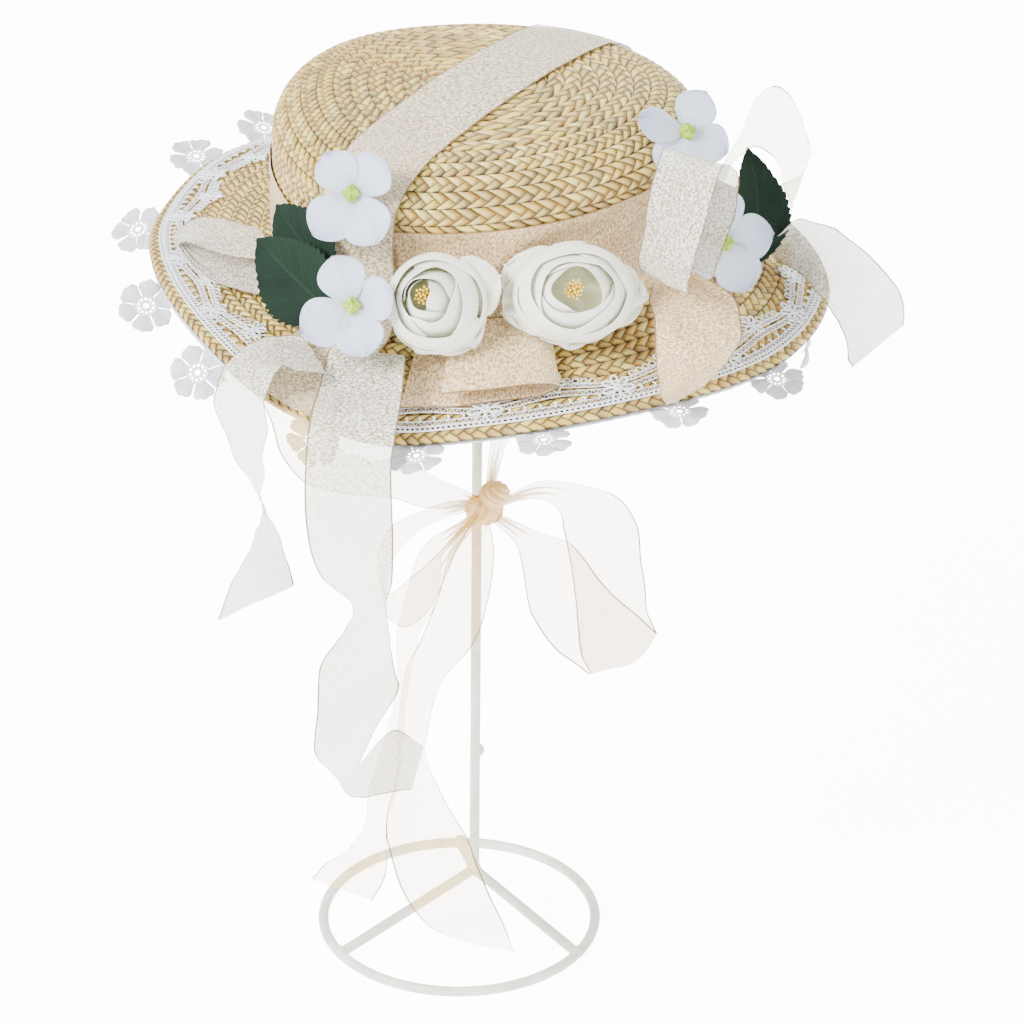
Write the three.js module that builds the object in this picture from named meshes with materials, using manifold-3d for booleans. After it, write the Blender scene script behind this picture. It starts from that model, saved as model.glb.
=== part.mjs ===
// Straw hat with ribbons, cloth flowers and lace, held up on a plain wire stand.
// Millimetres, +Z up, front towards -Y. The stand's base ring is centred on the origin while the
// pieces are made, and the last lines move the whole group so that the origin is under its middle.
import * as THREE from 'three';
import { mergeVertices } from 'three/addons/utils/BufferGeometryUtils.js';
import Module from 'manifold-3d';

const wasm = await Module();
wasm.setup();

const DEG = Math.PI / 180;
const V = (x, y, z) => new THREE.Vector3(x, y, z);

// Sizes shared by many pieces
const CLEAR = 0.3; // gap between pieces that touch
const STRAW = 2; // thickness of the sewn straw
const CLOTH = 1; // thickness of ribbon, petal and leaf
const LACE = 1; // thickness of the lace
const RIBBON = 40; // width of the ribbon
const AROUND = 44; // facets round the hat

// Wire stand
const WIRE = 5; // wire diameter
const BASE_RADIUS = 67; // centreline of the base ring
const HUB_RISE = 28; // hub above the base ring's centreline
const HUB_ASIDE = 7.5; // hub to the right of the ring's middle
const POST_LEAN = 3.5; // the post's top stands this much further right
const CRADLE_RADIUS = 30; // hidden ring that carries the crown
const NUB_HEIGHT = 99; // weld nub on the post
const NUB = 6.5; // its diameter

// Crown, an oval drawn at a constant reach from a short core line
const HAT_ASIDE = 15.1; // hat's middle to the right of the base ring's middle
const BRIM_HEIGHT = 383; // top of the brim at the crown, above the floor
const CROWN_HEIGHT = 81.3;
const CROWN_REACH = 91; // outside of the crown's side from its core line
const CORE = 9.3; // half of the core line
const EGG = 0.19; // share by which front and back lean to the left
const TURN = 8.8 * DEG; // turn of the oval
const FLAT = 53.5; // reach of the nearly flat top
const DOME = 3.3; // rise of the flat top
const SHOULDER = 26.1; // height of the round shoulder

// Brim: width along the straw as a share of BRIM_WIDTH, and slope down in degrees
const BRIM_WIDTH = 60;
const BRIM_CURL = 1.12; // above 1 the slope grows towards the edge
const BRIM_SECTIONS = [
  { at: -150, wide: 0.95, slope: 3 },
  { at: -120, wide: 0.935, slope: 24 },
  { at: -105, wide: 0.96, slope: 31.5 },
  { at: -90, wide: 0.965, slope: 27.5 },
  { at: -75, wide: 1.0, slope: 23 },
  { at: -60, wide: 1.05, slope: 22 },
  { at: -30, wide: 1.13, slope: 29 },
  { at: 0, wide: 1.165, slope: 27.5 },
  { at: 30, wide: 1.13, slope: 24 },
  { at: 60, wide: 1.065, slope: 22 },
  { at: 90, wide: 1.0, slope: 14.4 },
  { at: 120, wide: 0.98, slope: 11 },
  { at: 150, wide: 0.98, slope: 11 },
  { at: 180, wide: 0.975, slope: 1 },
];

// Gathered band: top edge as a share of the straight side's height
const BAND_FOLD = 0.9; // depth of its soft folds
const BAND_SECTIONS = [
  { at: -160, top: 0.8 },
  { at: -120, top: 0.98 },
  { at: -80, top: 1.0 },
  { at: -30, top: 1.03 },
  { at: 30, top: 0.92 },
  { at: 90, top: 0.85 },
  { at: 150, top: 0.8 },
];

// Tie ribbon: lies straight over the crown along this heading
const TIE_HEADING = 55 * DEG;
const KNOT_SIZE = 18;
const KNOT_DROP = 127; // knot below the brim's plane
const KNOT_AHEAD = 30; // and in front of the post

// Lace on the brim and daisies under its edge
const REPEATS = 16; // lace repeats round the brim
const LACE_WIDTH = 22;
const LACE_EDGE = 5; // straw left bare outside the lace
const DAISY = 26; // daisy diameter

// Flowers and leaves
const BLOSSOM = 47; // across its petals
const ROSE = 48;
const LEAF = 58; // length

// Small helpers for numbers

// Value of a column at an angle, smooth and closed round the hat.
function ringValue(rows, column, deg) {
  const n = rows.length;
  const d = ((deg - rows[0].at) % 360 + 360) % 360 + rows[0].at;
  let i = n - 1;
  while (i > 0 && rows[i].at > d) i -= 1;
  const row = (k) => rows[((k % n) + n) % n];
  const at = (k) => row(k).at + 360 * Math.floor(k / n);
  const u = (d - at(i)) / (at(i + 1) - at(i));
  const m0 = (row(i + 1)[column] - row(i - 1)[column]) / (at(i + 1) - at(i - 1));
  const m1 = (row(i + 2)[column] - row(i)[column]) / (at(i + 2) - at(i));
  const h = at(i + 1) - at(i);
  const [a, b] = [row(i)[column], row(i + 1)[column]];
  return a * (1 + 2 * u) * (1 - u) ** 2 + m0 * h * u * (1 - u) ** 2
    + b * u * u * (3 - 2 * u) - m1 * h * u * u * (1 - u);
}

// Skins: a grid of front and back points becomes one closed solid

function closedGeometry(positions) {
  let g = new THREE.BufferGeometry();
  g.setAttribute('position', new THREE.Float32BufferAttribute(positions, 3));
  g = mergeVertices(g, 1e-3);
  const kept = [];
  const index = g.index.array;
  for (let i = 0; i < index.length; i += 3) {
    const [a, b, c] = [index[i], index[i + 1], index[i + 2]];
    if (a !== b && b !== c && c !== a) kept.push(a, b, c);
  }
  if (signedVolume(g, kept) < 0) kept.reverse();
  g.setIndex(kept);
  g.computeVertexNormals();
  return g;
}

function signedVolume(g, index) {
  const p = g.getAttribute('position');
  const [a, b, c] = [V(), V(), V()];
  let sum = 0;
  for (let i = 0; i < index.length; i += 3) {
    a.fromBufferAttribute(p, index[i]);
    b.fromBufferAttribute(p, index[i + 1]);
    c.fromBufferAttribute(p, index[i + 2]);
    sum += a.dot(b.cross(c));
  }
  return sum;
}

// front(i, j) and back(i, j) run over rows and columns. A loop joins the last row to the first.
// An open start leaves out the wall at column 0, where the skin closes on itself.
function skin(rows, cols, front, back, { loop = false, openStart = false } = {}) {
  const grid = (f) => Array.from({ length: rows + 1 }, (_, i) => (
    Array.from({ length: cols + 1 }, (_, j) => f(loop ? i % rows : i, j))));
  const [f, b] = [grid(front), grid(back)];
  const out = [];
  const tri = (p, q, r) => {
    for (const v of [p, q, r]) out.push(v.x, v.y, v.z);
  };
  const quad = (p, q, r, s) => {
    tri(p, q, r);
    tri(p, r, s);
  };
  for (let i = 0; i < rows; i += 1) {
    for (let j = 0; j < cols; j += 1) {
      quad(f[i][j], f[i + 1][j], f[i + 1][j + 1], f[i][j + 1]);
      quad(b[i][j], b[i][j + 1], b[i + 1][j + 1], b[i + 1][j]);
    }
    quad(f[i][cols], f[i + 1][cols], b[i + 1][cols], b[i][cols]);
    if (!openStart) quad(f[i][0], b[i][0], b[i + 1][0], f[i + 1][0]);
  }
  if (!loop) {
    for (let j = 0; j < cols; j += 1) {
      quad(f[0][j], f[0][j + 1], b[0][j + 1], b[0][j]);
      quad(f[rows][j], b[rows][j], b[rows][j + 1], f[rows][j + 1]);
    }
  }
  return closedGeometry(out);
}

// Joining with manifold-3d
function solid(geometry) {
  const g = geometry.clone();
  for (const name of Object.keys(g.attributes)) {
    if (name !== 'position') g.deleteAttribute(name);
  }
  const m = mergeVertices(g, 1e-4);
  return new wasm.Manifold(new wasm.Mesh({
    numProp: 3,
    vertProperties: m.getAttribute('position').array,
    triVerts: new Uint32Array(m.index.array),
  }));
}

function fromSolid(made) {
  const mesh = made.getMesh();
  const g = new THREE.BufferGeometry();
  g.setAttribute('position', new THREE.BufferAttribute(Float32Array.from(mesh.vertProperties), 3));
  g.setIndex(Array.from(mesh.triVerts));
  g.computeVertexNormals();
  return g;
}

const join = (geometries) => fromSolid(geometries.map(solid).reduce((a, b) => a.add(b)));

// A round bar between two points.
function bar(a, b, diameter, sides = 6) {
  const along = b.clone().sub(a);
  const g = new THREE.CylinderGeometry(diameter / 2, diameter / 2, along.length(), sides);
  g.applyQuaternion(new THREE.Quaternion().setFromUnitVectors(V(0, 1, 0), along.clone().normalize()));
  g.translate(...a.clone().add(b).multiplyScalar(0.5).toArray());
  return g;
}

// A ring of wire whose six-sided section has a flat side below.
function wireRing(radius, diameter, facets) {
  const points = [];
  for (let k = 0; k <= 6; k += 1) {
    const a = (k * 60 - 120) * DEG;
    points.push(new THREE.Vector2(radius + (diameter / 2) * Math.cos(a), (diameter / 2) * Math.sin(a)));
  }
  return new THREE.LatheGeometry(points, facets).rotateX(Math.PI / 2);
}

// Hat surfaces

// Point of the oval at an angle and a reach from the core line, in plan.
function oval(t, reach) {
  const [c, s] = [Math.cos(t), Math.sin(t)];
  const x = (CORE * c) / Math.sqrt(c * c + 0.1) + reach * c - EGG * reach * s * s;
  const y = reach * s;
  return [
    HAT_ASIDE + x * Math.cos(TURN) - y * Math.sin(TURN),
    x * Math.sin(TURN) + y * Math.cos(TURN),
  ];
}

const SIDE = CROWN_HEIGHT - DOME - SHOULDER; // height of the straight side

// Crown profile: reach and height for u from 0 at the top to 1 at the foot, with its outward slope.
function crownProfile(u) {
  if (u <= 0.3) {
    const k = u / 0.3;
    const n = new THREE.Vector2((2 * DOME * k) / FLAT, 1).normalize();
    return { reach: FLAT * k, height: CROWN_HEIGHT - DOME * k * k, out: n.x, up: n.y };
  }
  if (u <= 0.8) {
    const a = ((u - 0.3) / 0.5) * (Math.PI / 2);
    const w = CROWN_REACH - FLAT;
    const n = new THREE.Vector2(Math.sin(a) / w, Math.cos(a) / SHOULDER).normalize();
    return {
      reach: FLAT + w * Math.sin(a),
      height: CROWN_HEIGHT - DOME - SHOULDER * (1 - Math.cos(a)),
      out: n.x,
      up: n.y,
    };
  }
  return { reach: CROWN_REACH, height: SIDE * (1 - (u - 0.8) / 0.2), out: 1, up: 0 };
}

function crownPoint(t, u, lift = 0) {
  const p = crownProfile(u);
  const [x, y] = oval(t, Math.max(0, p.reach + lift * p.out));
  return V(x, y, BRIM_HEIGHT + p.height + lift * p.up);
}

// Brim surface: out is 0 at the crown and 1 at the edge.
function brimPoint(t, out, lift = 0) {
  const wide = BRIM_WIDTH * ringValue(BRIM_SECTIONS, 'wide', t / DEG);
  const slope = ringValue(BRIM_SECTIONS, 'slope', t / DEG) * DEG;
  const reach = CROWN_REACH + wide * out * Math.cos(slope) + lift * Math.sin(slope);
  const [x, y] = oval(t, reach);
  const drop = wide * Math.sin(slope) * Math.sign(out) * Math.abs(out) ** BRIM_CURL;
  return V(x, y, BRIM_HEIGHT - drop + lift * Math.cos(slope));
}

// Directions on the brim at a place: round the hat, outward, and up off the straw.
function brimFrame(t, out, lift = 0) {
  const p = brimPoint(t, out, lift);
  const around = brimPoint(t + 0.01, out, lift).sub(p).normalize();
  const outward = brimPoint(t, out + 0.01, lift).sub(p).normalize();
  return { p, around, outward, up: outward.clone().cross(around).normalize() };
}

// Angle facets of the hat, shared by crown, brim and band
const facet = (i) => (i / AROUND) * 2 * Math.PI;

const CROWN_STEPS = [0, 0.3, 0.45, 0.6, 0.72, 0.8, 1];

function crownGeometry() {
  const cols = CROWN_STEPS.length - 1;
  const lip = STRAW + CLEAR; // the crown stands on the brim's inner ring
  const point = (i, j, lift) => {
    const p = crownPoint(facet(i), CROWN_STEPS[j], lift);
    if (j === cols) p.z = BRIM_HEIGHT + lip - STRAW;
    return p;
  };
  return skin(AROUND, cols, (i, j) => point(i, j, 0), (i, j) => point(i, j, -STRAW), {
    loop: true,
    openStart: true,
  });
}

const BRIM_STEPS = [0, 0.33, 0.67, 1];

function brimGeometry() {
  const cols = BRIM_STEPS.length;
  const point = (i, j, lift) => {
    if (j === 0) {
      const [x, y] = oval(facet(i), CROWN_REACH - STRAW);
      return V(x, y, BRIM_HEIGHT + lift);
    }
    return brimPoint(facet(i), BRIM_STEPS[j - 1], lift);
  };
  return skin(AROUND, cols, (i, j) => point(i, j, 0), (i, j) => point(i, j, -STRAW), { loop: true });
}

function bandGeometry() {
  const cols = 3;
  const point = (i, j, lift) => {
    const t = facet(i);
    const top = SIDE * ringValue(BAND_SECTIONS, 'top', t / DEG);
    const foot = 2 * CLEAR;
    const fold = BAND_FOLD * (j % 2) * (0.7 + 0.3 * Math.cos(5 * t + j));
    const h = foot + (top - foot) * (j / cols);
    const over = Math.max(0, h - SIDE);
    const [x, y] = oval(t, CROWN_REACH + CLEAR + fold + lift - over * 0.02);
    return V(x, y, BRIM_HEIGHT + h);
  };
  return skin(AROUND, cols, (i, j) => point(i, j, CLOTH), (i, j) => point(i, j, 0), { loop: true });
}

// Ribbons

// A section is { c, w, full }: centre, unit direction across, and width as a share of RIBBON.
const across = (turn, tip) => V(
  Math.cos(turn * DEG) * Math.cos(tip * DEG),
  Math.sin(turn * DEG) * Math.cos(tip * DEG),
  Math.sin(tip * DEG),
);

// Sections that hang or fly: lengths are shares of the named length, measured from a start point.
function freeSections(start, length, rows) {
  return rows.map((r) => ({
    c: start.clone().add(V(r.aside, -r.ahead, -r.drop).multiplyScalar(length)),
    w: across(r.turn, r.tip),
    full: r.full ?? 1,
  }));
}

// Sections on the brim: lift is a share of RIBBON, turn is from round the hat towards outward.
function brimSections(rows, floor = 0) {
  return rows.map((r) => {
    const f = brimFrame(r.at * DEG, r.out, floor + r.lift * RIBBON);
    return {
      c: f.p,
      w: f.around.multiplyScalar(Math.cos(r.turn * DEG))
        .addScaledVector(f.outward, Math.sin(r.turn * DEG)),
      full: r.full ?? 1,
    };
  });
}

function ribbonGeometry(sections, steps, cols = 2, bow = 0) {
  const centres = new THREE.CatmullRomCurve3(sections.map((s) => s.c), false, 'centripetal');
  const n = sections.length - 1;
  const at = (u) => {
    const k = Math.min(n - 1, Math.floor(u * n));
    const f = u * n - k;
    const [a, b] = [sections[k], sections[k + 1]];
    const e = f * f * (3 - 2 * f);
    return {
      c: centres.getPoint(u),
      w: a.w.clone().lerp(b.w, e).normalize(),
      half: (RIBBON / 2) * (a.full + (b.full - a.full) * e),
    };
  };
  const rows = Array.from({ length: steps + 1 }, (_, i) => at(i / steps));
  const mid = (i, j) => {
    const r = rows[i];
    const v = (2 * j) / cols - 1;
    return r.c.clone().addScaledVector(r.w, v * r.half);
  };
  const normal = (i, j) => {
    const along = mid(Math.min(i + 1, steps), j).sub(mid(Math.max(i - 1, 0), j));
    return along.cross(rows[i].w).normalize();
  };
  const point = (i, j, side) => mid(i, j)
    .addScaledVector(normal(i, j), side * (CLOTH / 2) + bow * (1 - ((2 * j) / cols - 1) ** 2));
  return skin(steps, cols, (i, j) => point(i, j, 1), (i, j) => point(i, j, -1));
}

// Crown height and normal at a reach on its top and shoulder.
function crownAt(reach) {
  if (reach <= FLAT) {
    const n = new THREE.Vector2((2 * DOME * reach) / FLAT ** 2, 1).normalize();
    return { height: CROWN_HEIGHT - DOME * (reach / FLAT) ** 2, out: n.x, up: n.y };
  }
  const w = CROWN_REACH - FLAT;
  const a = Math.asin(Math.min(1, (reach - FLAT) / w));
  const n = new THREE.Vector2(Math.sin(a) / w, Math.cos(a) / SHOULDER).normalize();
  return { height: CROWN_HEIGHT - DOME - SHOULDER * (1 - Math.cos(a)), out: n.x, up: n.y };
}

// The tie ribbon's upper stretch: brim edge, up the crown, over it and down to the brim edge again.
// Each column of points stays in a plane of its own along the heading.
function crownRibbonGeometry() {
  const cols = 4;
  const [hx, hy] = [Math.cos(TIE_HEADING), Math.sin(TIE_HEADING)];
  const aside = (t, reach) => {
    const [x, y] = oval(t, reach);
    return (x - HAT_ASIDE) * hy - y * hx;
  };
  const right = TIE_HEADING - Math.PI / 2;
  // Angle at which the oval of this reach crosses the plane at offset v, before or behind.
  const crossing = (reach, v, side) => {
    let [lo, hi] = [right, right + side * Math.PI];
    for (let k = 0; k < 40; k += 1) {
      const m = (lo + hi) / 2;
      if (aside(m, reach) > v) lo = m;
      else hi = m;
    }
    return (lo + hi) / 2;
  };
  // Smallest reach whose oval still touches the plane at offset v.
  const nearest = (v) => {
    let [lo, hi] = [0, CROWN_REACH];
    for (let k = 0; k < 40; k += 1) {
      const m = (lo + hi) / 2;
      if (v > 0 ? aside(right, m) > v : aside(right + Math.PI, m) < v) hi = m;
      else lo = m;
    }
    return hi + 0.01;
  };
  const walk = [
    ...[1, 0.75, 0.45, 0.12].map((out) => ({ out })),
    ...[0.12, 0.5, 1].map((side) => ({ side })),
    ...[0.975, 0.92, 0.84, 0.72, 0.55, 0.3].map((top) => ({ top })),
  ];
  const stations = [
    ...walk.map((s) => ({ ...s, way: -1 })),
    { top: 0, way: 1 },
    ...walk.slice().reverse().map((s) => ({ ...s, way: 1 })),
  ];
  const overBand = CLEAR + BAND_FOLD + CLOTH + 2 * CLEAR;
  const overLace = CLEAR + LACE + 3 * CLEAR;
  const point = (i, j, face) => {
    const s = stations[i];
    const v = ((2 * j) / cols - 1) * (RIBBON / 2);
    if (s.out !== undefined) {
      const lift = overLace + face * CLOTH;
      let t = crossing(CROWN_REACH + BRIM_WIDTH * s.out, v, s.way);
      for (let k = 0; k < 3; k += 1) {
        const wide = BRIM_WIDTH * ringValue(BRIM_SECTIONS, 'wide', t / DEG);
        const slope = ringValue(BRIM_SECTIONS, 'slope', t / DEG) * DEG;
        t = crossing(CROWN_REACH + wide * s.out * Math.cos(slope), v, s.way);
      }
      return brimPoint(t, s.out, lift);
    }
    if (s.side !== undefined) {
      const reach = CROWN_REACH + overBand + face * CLOTH;
      const [x, y] = oval(crossing(reach, v, s.way), reach);
      return V(x, y, BRIM_HEIGHT + SIDE * s.side);
    }
    const low = nearest(v);
    const reach = low + (CROWN_REACH - low) * s.top;
    const a = crownAt(reach);
    const over = THREE.MathUtils.smoothstep(reach / CROWN_REACH, 0.8, 0.99);
    const lift = THREE.MathUtils.lerp(3 * CLEAR, overBand, over) + face * CLOTH;
    const [x, y] = oval(crossing(reach + lift * a.out, v, s.way), reach + lift * a.out);
    return V(x, y, BRIM_HEIGHT + a.height + lift * a.up);
  };
  return skin(stations.length - 1, cols, (i, j) => point(i, j, 1), (i, j) => point(i, j, 0));
}

// Wire stand

function standGeometry() {
  const lift = (WIRE / 2) * Math.cos(30 * DEG);
  const base = wireRing(BASE_RADIUS, WIRE, 36).translate(0, 0, lift);
  const hub = V(HUB_ASIDE, 0, lift + HUB_RISE);
  // The cradle's top lies just under the crown's inside.
  const reach = CRADLE_RADIUS + WIRE / 2;
  const under = BRIM_HEIGHT + CROWN_HEIGHT - (DOME * reach) / FLAT - STRAW - CLEAR;
  const top = V(HUB_ASIDE + POST_LEAN, 0, under - lift);
  const pieces = [base, bar(hub.clone().add(V(0, 0, -WIRE / 2)), top, WIRE, 8)];
  for (const angle of [90, 210, 330]) {
    const foot = V(BASE_RADIUS * Math.cos(angle * DEG), BASE_RADIUS * Math.sin(angle * DEG), lift + 0.4);
    pieces.push(bar(foot, hub, WIRE));
  }
  pieces.push(wireRing(CRADLE_RADIUS, WIRE, 16).translate(top.x, top.y, top.z));
  for (const angle of [0, 90]) {
    const arm = V(Math.cos(angle * DEG), Math.sin(angle * DEG), 0).multiplyScalar(CRADLE_RADIUS);
    pieces.push(bar(top.clone().sub(arm), top.clone().add(arm), WIRE - 0.6));
  }
  const k = (NUB_HEIGHT - hub.z) / (top.z - hub.z);
  const nub = new THREE.SphereGeometry(NUB / 2, 8, 6).rotateX(Math.PI / 2);
  nub.translate(...hub.clone().lerp(top, k).add(V(1.2, 0, 0)).toArray());
  pieces.push(nub);
  return join(pieces);
}

// Flowers and leaves

// Turns a piece made about the origin, looking along +Z, to look along a direction at a place.
function pose(geometry, place, look, spin = 0) {
  geometry.rotateZ(spin * DEG);
  const z = look.clone().normalize();
  const x = V(0, 0, 1).cross(z).normalize();
  const m = new THREE.Matrix4().makeBasis(x, z.clone().cross(x), z);
  return geometry.applyMatrix4(m).translate(place.x, place.y, place.z);
}

// Four rounded petals round a middle: each has its angle, length share, lift in degrees and cup.
function blossomGeometry(size, petals) {
  const [rows, cols] = [24, 2];
  const at = (i, j) => {
    const k = Math.floor(i / 6) % 4;
    const away = ((i % 6) - 3) / 3;
    const p = petals[k];
    const next = petals[(k + 3) % 4];
    const gap = (((p.at - next.at) % 360) + 360) % 360;
    const after = (((petals[(k + 1) % 4].at - p.at) % 360) + 360) % 360;
    const th = (p.at + (away < 0 ? (away * gap) / 2 : (away * after) / 2)) * DEG;
    const edge = away === -1 ? 0.42 : Math.cos(away * 75 * DEG) ** 0.45;
    const long = away === -1 ? (p.long + next.long) / 2 : p.long;
    const q = j / cols;
    const r = q * (size / 2) * long * edge;
    const z = r * Math.tan(p.lift * DEG) * q + size * p.cup * q * q * (1 - away * away);
    return V(r * Math.cos(th), r * Math.sin(th), z);
  };
  return skin(rows, cols, (i, j) => at(i, j).add(V(0, 0, CLOTH)), at, { loop: true, openStart: true });
}

// Small domed heart of a blossom.
function heartGeometry(width, height, sides = 8) {
  const points = [[0, 0], [0.5, 0], [0.42, 0.6], [0, 1]]
    .map(([r, z]) => new THREE.Vector2(r * width, z * height));
  return new THREE.LatheGeometry(points, sides).rotateX(Math.PI / 2);
}

// Rose: nested cups of overlapping petals on one base.
const ROSE_CUPS = [
  { reach: 0.5, rise: 0.34, petals: 5, wave: 0.16, turn: 0 },
  { reach: 0.35, rise: 0.46, petals: 4, wave: 0.12, turn: 30 },
];

function roseGeometry(size, wide) {
  const [rows, cols] = [16, 2];
  const cups = ROSE_CUPS.map((c) => {
    const at = (i, j) => {
      const a = (i / rows) * 2 * Math.PI;
      const q = j / cols;
      const lobe = 1 + c.wave * (Math.abs(Math.cos((c.petals * a) / 2 + c.turn * DEG)) - 0.5) * q;
      const r = size * c.reach * lobe * Math.sin(q * 82 * DEG);
      const z = size * c.rise * (1 - Math.cos(q * 100 * DEG)) * 0.85;
      return V(r * wide * Math.cos(a), r * Math.sin(a), z);
    };
    const inner = (i, j) => {
      const p = at(i, j);
      const shrink = 1 - CLOTH / (size * c.reach);
      return V(p.x * shrink, p.y * shrink, p.z + CLOTH * (1 - (j / cols) ** 2) + 0.2);
    };
    return skin(rows, cols, inner, at, { loop: true, openStart: true });
  });
  const base = heartGeometry(size * 0.36, size * 0.2, 10).translate(0, 0, -size * 0.03);
  return join([...cups, base]);
}

// Leaf with toothed edges, folded a little along its midrib and curling down to its tip.
const LEAF_SECTIONS = [
  { along: 0, wide: 0.1 },
  { along: 0.12, wide: 0.42 },
  { along: 0.3, wide: 0.78 },
  { along: 0.5, wide: 0.86 },
  { along: 0.7, wide: 0.7 },
  { along: 0.88, wide: 0.42 },
  { along: 1, wide: 0.04 },
];

function leafGeometry(length, broad, curl, fold) {
  const rows = 20;
  const width = (u) => {
    const k = LEAF_SECTIONS.findIndex((s) => s.along >= u && s.along > 0);
    const [a, b] = [LEAF_SECTIONS[k - 1], LEAF_SECTIONS[k]];
    const f = (u - a.along) / (b.along - a.along);
    return a.wide + (b.wide - a.wide) * f * f * (3 - 2 * f);
  };
  const at = (i, j) => {
    const u = i / rows;
    const tooth = i % 2 ? 0.93 : 1;
    const half = (width(u) * length * broad * tooth) / 2;
    const v = j - 1;
    return V(v * half, u * length, Math.abs(v) * half * fold - curl * length * u * u);
  };
  return skin(rows, 2, (i, j) => at(i, j).add(V(0, 0, CLOTH)), at);
}

// Lace

// One repeat in a unit strip: x round the brim, y from the outer edge to the inner scallop.
const LACE_EDGE_POINTS = 4;
const LACE_SCALLOP = [
  { x: 0, y: 0.66 },
  { x: 0.2, y: 0.72 },
  { x: 0.36, y: 0.8 },
  { x: 0.5, y: 1 },
  { x: 0.64, y: 0.8 },
  { x: 0.8, y: 0.72 },
  { x: 1, y: 0.66 },
];
const LACE_HOLES = [
  { x: 0.15, y: 0.36, w: 0.15, h: 0.3 },
  { x: 0.34, y: 0.34, w: 0.13, h: 0.34 },
  { x: 0.5, y: 0.5, w: 0.13, h: 0.36 },
  { x: 0.66, y: 0.34, w: 0.13, h: 0.34 },
  { x: 0.85, y: 0.36, w: 0.15, h: 0.3 },
];

function laceGeometry() {
  const contour = [];
  for (let k = 0; k < LACE_EDGE_POINTS; k += 1) contour.push(new THREE.Vector2(k / LACE_EDGE_POINTS, 0));
  contour.push(new THREE.Vector2(1, 0), new THREE.Vector2(1, 0.33));
  for (const p of LACE_SCALLOP.slice().reverse()) contour.push(new THREE.Vector2(p.x, p.y));
  contour.push(new THREE.Vector2(0, 0.33));
  const holes = LACE_HOLES.map((h) => [[0, -1], [-1, 0], [0, 1], [1, 0]]
    .map(([x, y]) => new THREE.Vector2(h.x + (x * h.w) / 2, h.y + (y * h.h) / 2)));
  const faces = THREE.ShapeUtils.triangulateShape(contour, holes);
  const flat = [...contour, ...holes.flat()];
  const start = -88.75 * DEG;
  const out = [];
  const place = (p, r, lift) => {
    const t = start + ((r + p.x) / REPEATS) * 2 * Math.PI;
    const wide = BRIM_WIDTH * ringValue(BRIM_SECTIONS, 'wide', t / DEG);
    return brimPoint(t, 1 - (LACE_EDGE + p.y * LACE_WIDTH) / wide, lift);
  };
  const add = (...points) => points.forEach((p) => out.push(p.x, p.y, p.z));
  const [low, high] = [2.5 * CLEAR, 2.5 * CLEAR + LACE];
  for (let r = 0; r < REPEATS; r += 1) {
    for (const [a, b, c] of faces) {
      add(place(flat[a], r, high), place(flat[b], r, high), place(flat[c], r, high));
      add(place(flat[a], r, low), place(flat[c], r, low), place(flat[b], r, low));
    }
    for (const ring of [contour, ...holes]) {
      ring.forEach((p, k) => {
        const q = ring[(k + 1) % ring.length];
        if (p.x === q.x && (p.x === 0 || p.x === 1)) return;
        add(place(p, r, low), place(q, r, low), place(q, r, high));
        add(place(p, r, low), place(q, r, high), place(p, r, high));
      });
    }
  }
  return closedGeometry(out);
}

// Daisies on a strip under the brim edge. dip tips the outer side down, roll turns about outward.
const DAISIES = [
  { at: -147, out: 0.49, dip: 34, roll: -16 },
  { at: -120, out: 0.47, dip: 66, roll: 0 },
  { at: -99.5, out: 0.3, dip: 4, roll: 8 },
  { at: -80, out: 0.3, dip: 2, roll: 0 },
  { at: -58.5, out: 0.3, dip: 0, roll: 6 },
  { at: -38, out: 0.34, dip: 2, roll: 10 },
  { at: -17, out: 0.47, dip: 66, roll: 0 },
  { at: 5, out: 0.47, dip: 66, roll: 0 },
  { at: 24, out: 0.3, dip: 0, roll: 0 },
  { at: 42, out: 0.47, dip: 60, roll: 0 },
  { at: 70, out: 0.3, dip: 0, roll: 0 },
  { at: 90, out: 0.3, dip: -5, roll: 0 },
  { at: 110.5, out: 0.5, dip: -30, roll: 0 },
  { at: 128, out: 0.49, dip: -24, roll: -6 },
  { at: 157.5, out: 0.49, dip: 4, roll: -34 },
  { at: -168, out: 0.49, dip: 10, roll: -36 },
];

function daisyTrimGeometry() {
  const under = -STRAW - 2 * CLEAR;
  const strip = (i, j, lift) => {
    const t = facet(i);
    const wide = BRIM_WIDTH * ringValue(BRIM_SECTIONS, 'wide', t / DEG);
    return brimPoint(t, 1 - (0.2 + 6 * j) / wide, under + lift);
  };
  const [top, foot] = [0, -1.8 * LACE];
  const pieces = [skin(AROUND, 1, (i, j) => strip(i, j, top), (i, j) => strip(i, j, foot), { loop: true })];
  const petal = (i) => (DAISY / 2) * (i % 2 === 0 ? 0.66 : 1);
  for (const d of DAISIES) {
    const disc = skin(
      10,
      1,
      (i, j) => V(j * petal(i) * Math.cos(i * 36 * DEG), j * petal(i) * Math.sin(i * 36 * DEG), 0),
      (i, j) => V(j * petal(i) * Math.cos(i * 36 * DEG), j * petal(i) * Math.sin(i * 36 * DEG), -LACE),
      { loop: true, openStart: true },
    );
    disc.rotateX(d.roll * DEG).translate(DAISY * d.out, 0, 0).rotateY(d.dip * DEG);
    const f = brimFrame(d.at * DEG, 1, under - LACE * 1.1);
    const m = new THREE.Matrix4().makeBasis(f.outward, f.up.clone().cross(f.outward), f.up);
    disc.applyMatrix4(m).translate(...f.p.clone().addScaledVector(f.outward, -3).toArray());
    pieces.push(disc);
  }
  return join(pieces);
}

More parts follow.
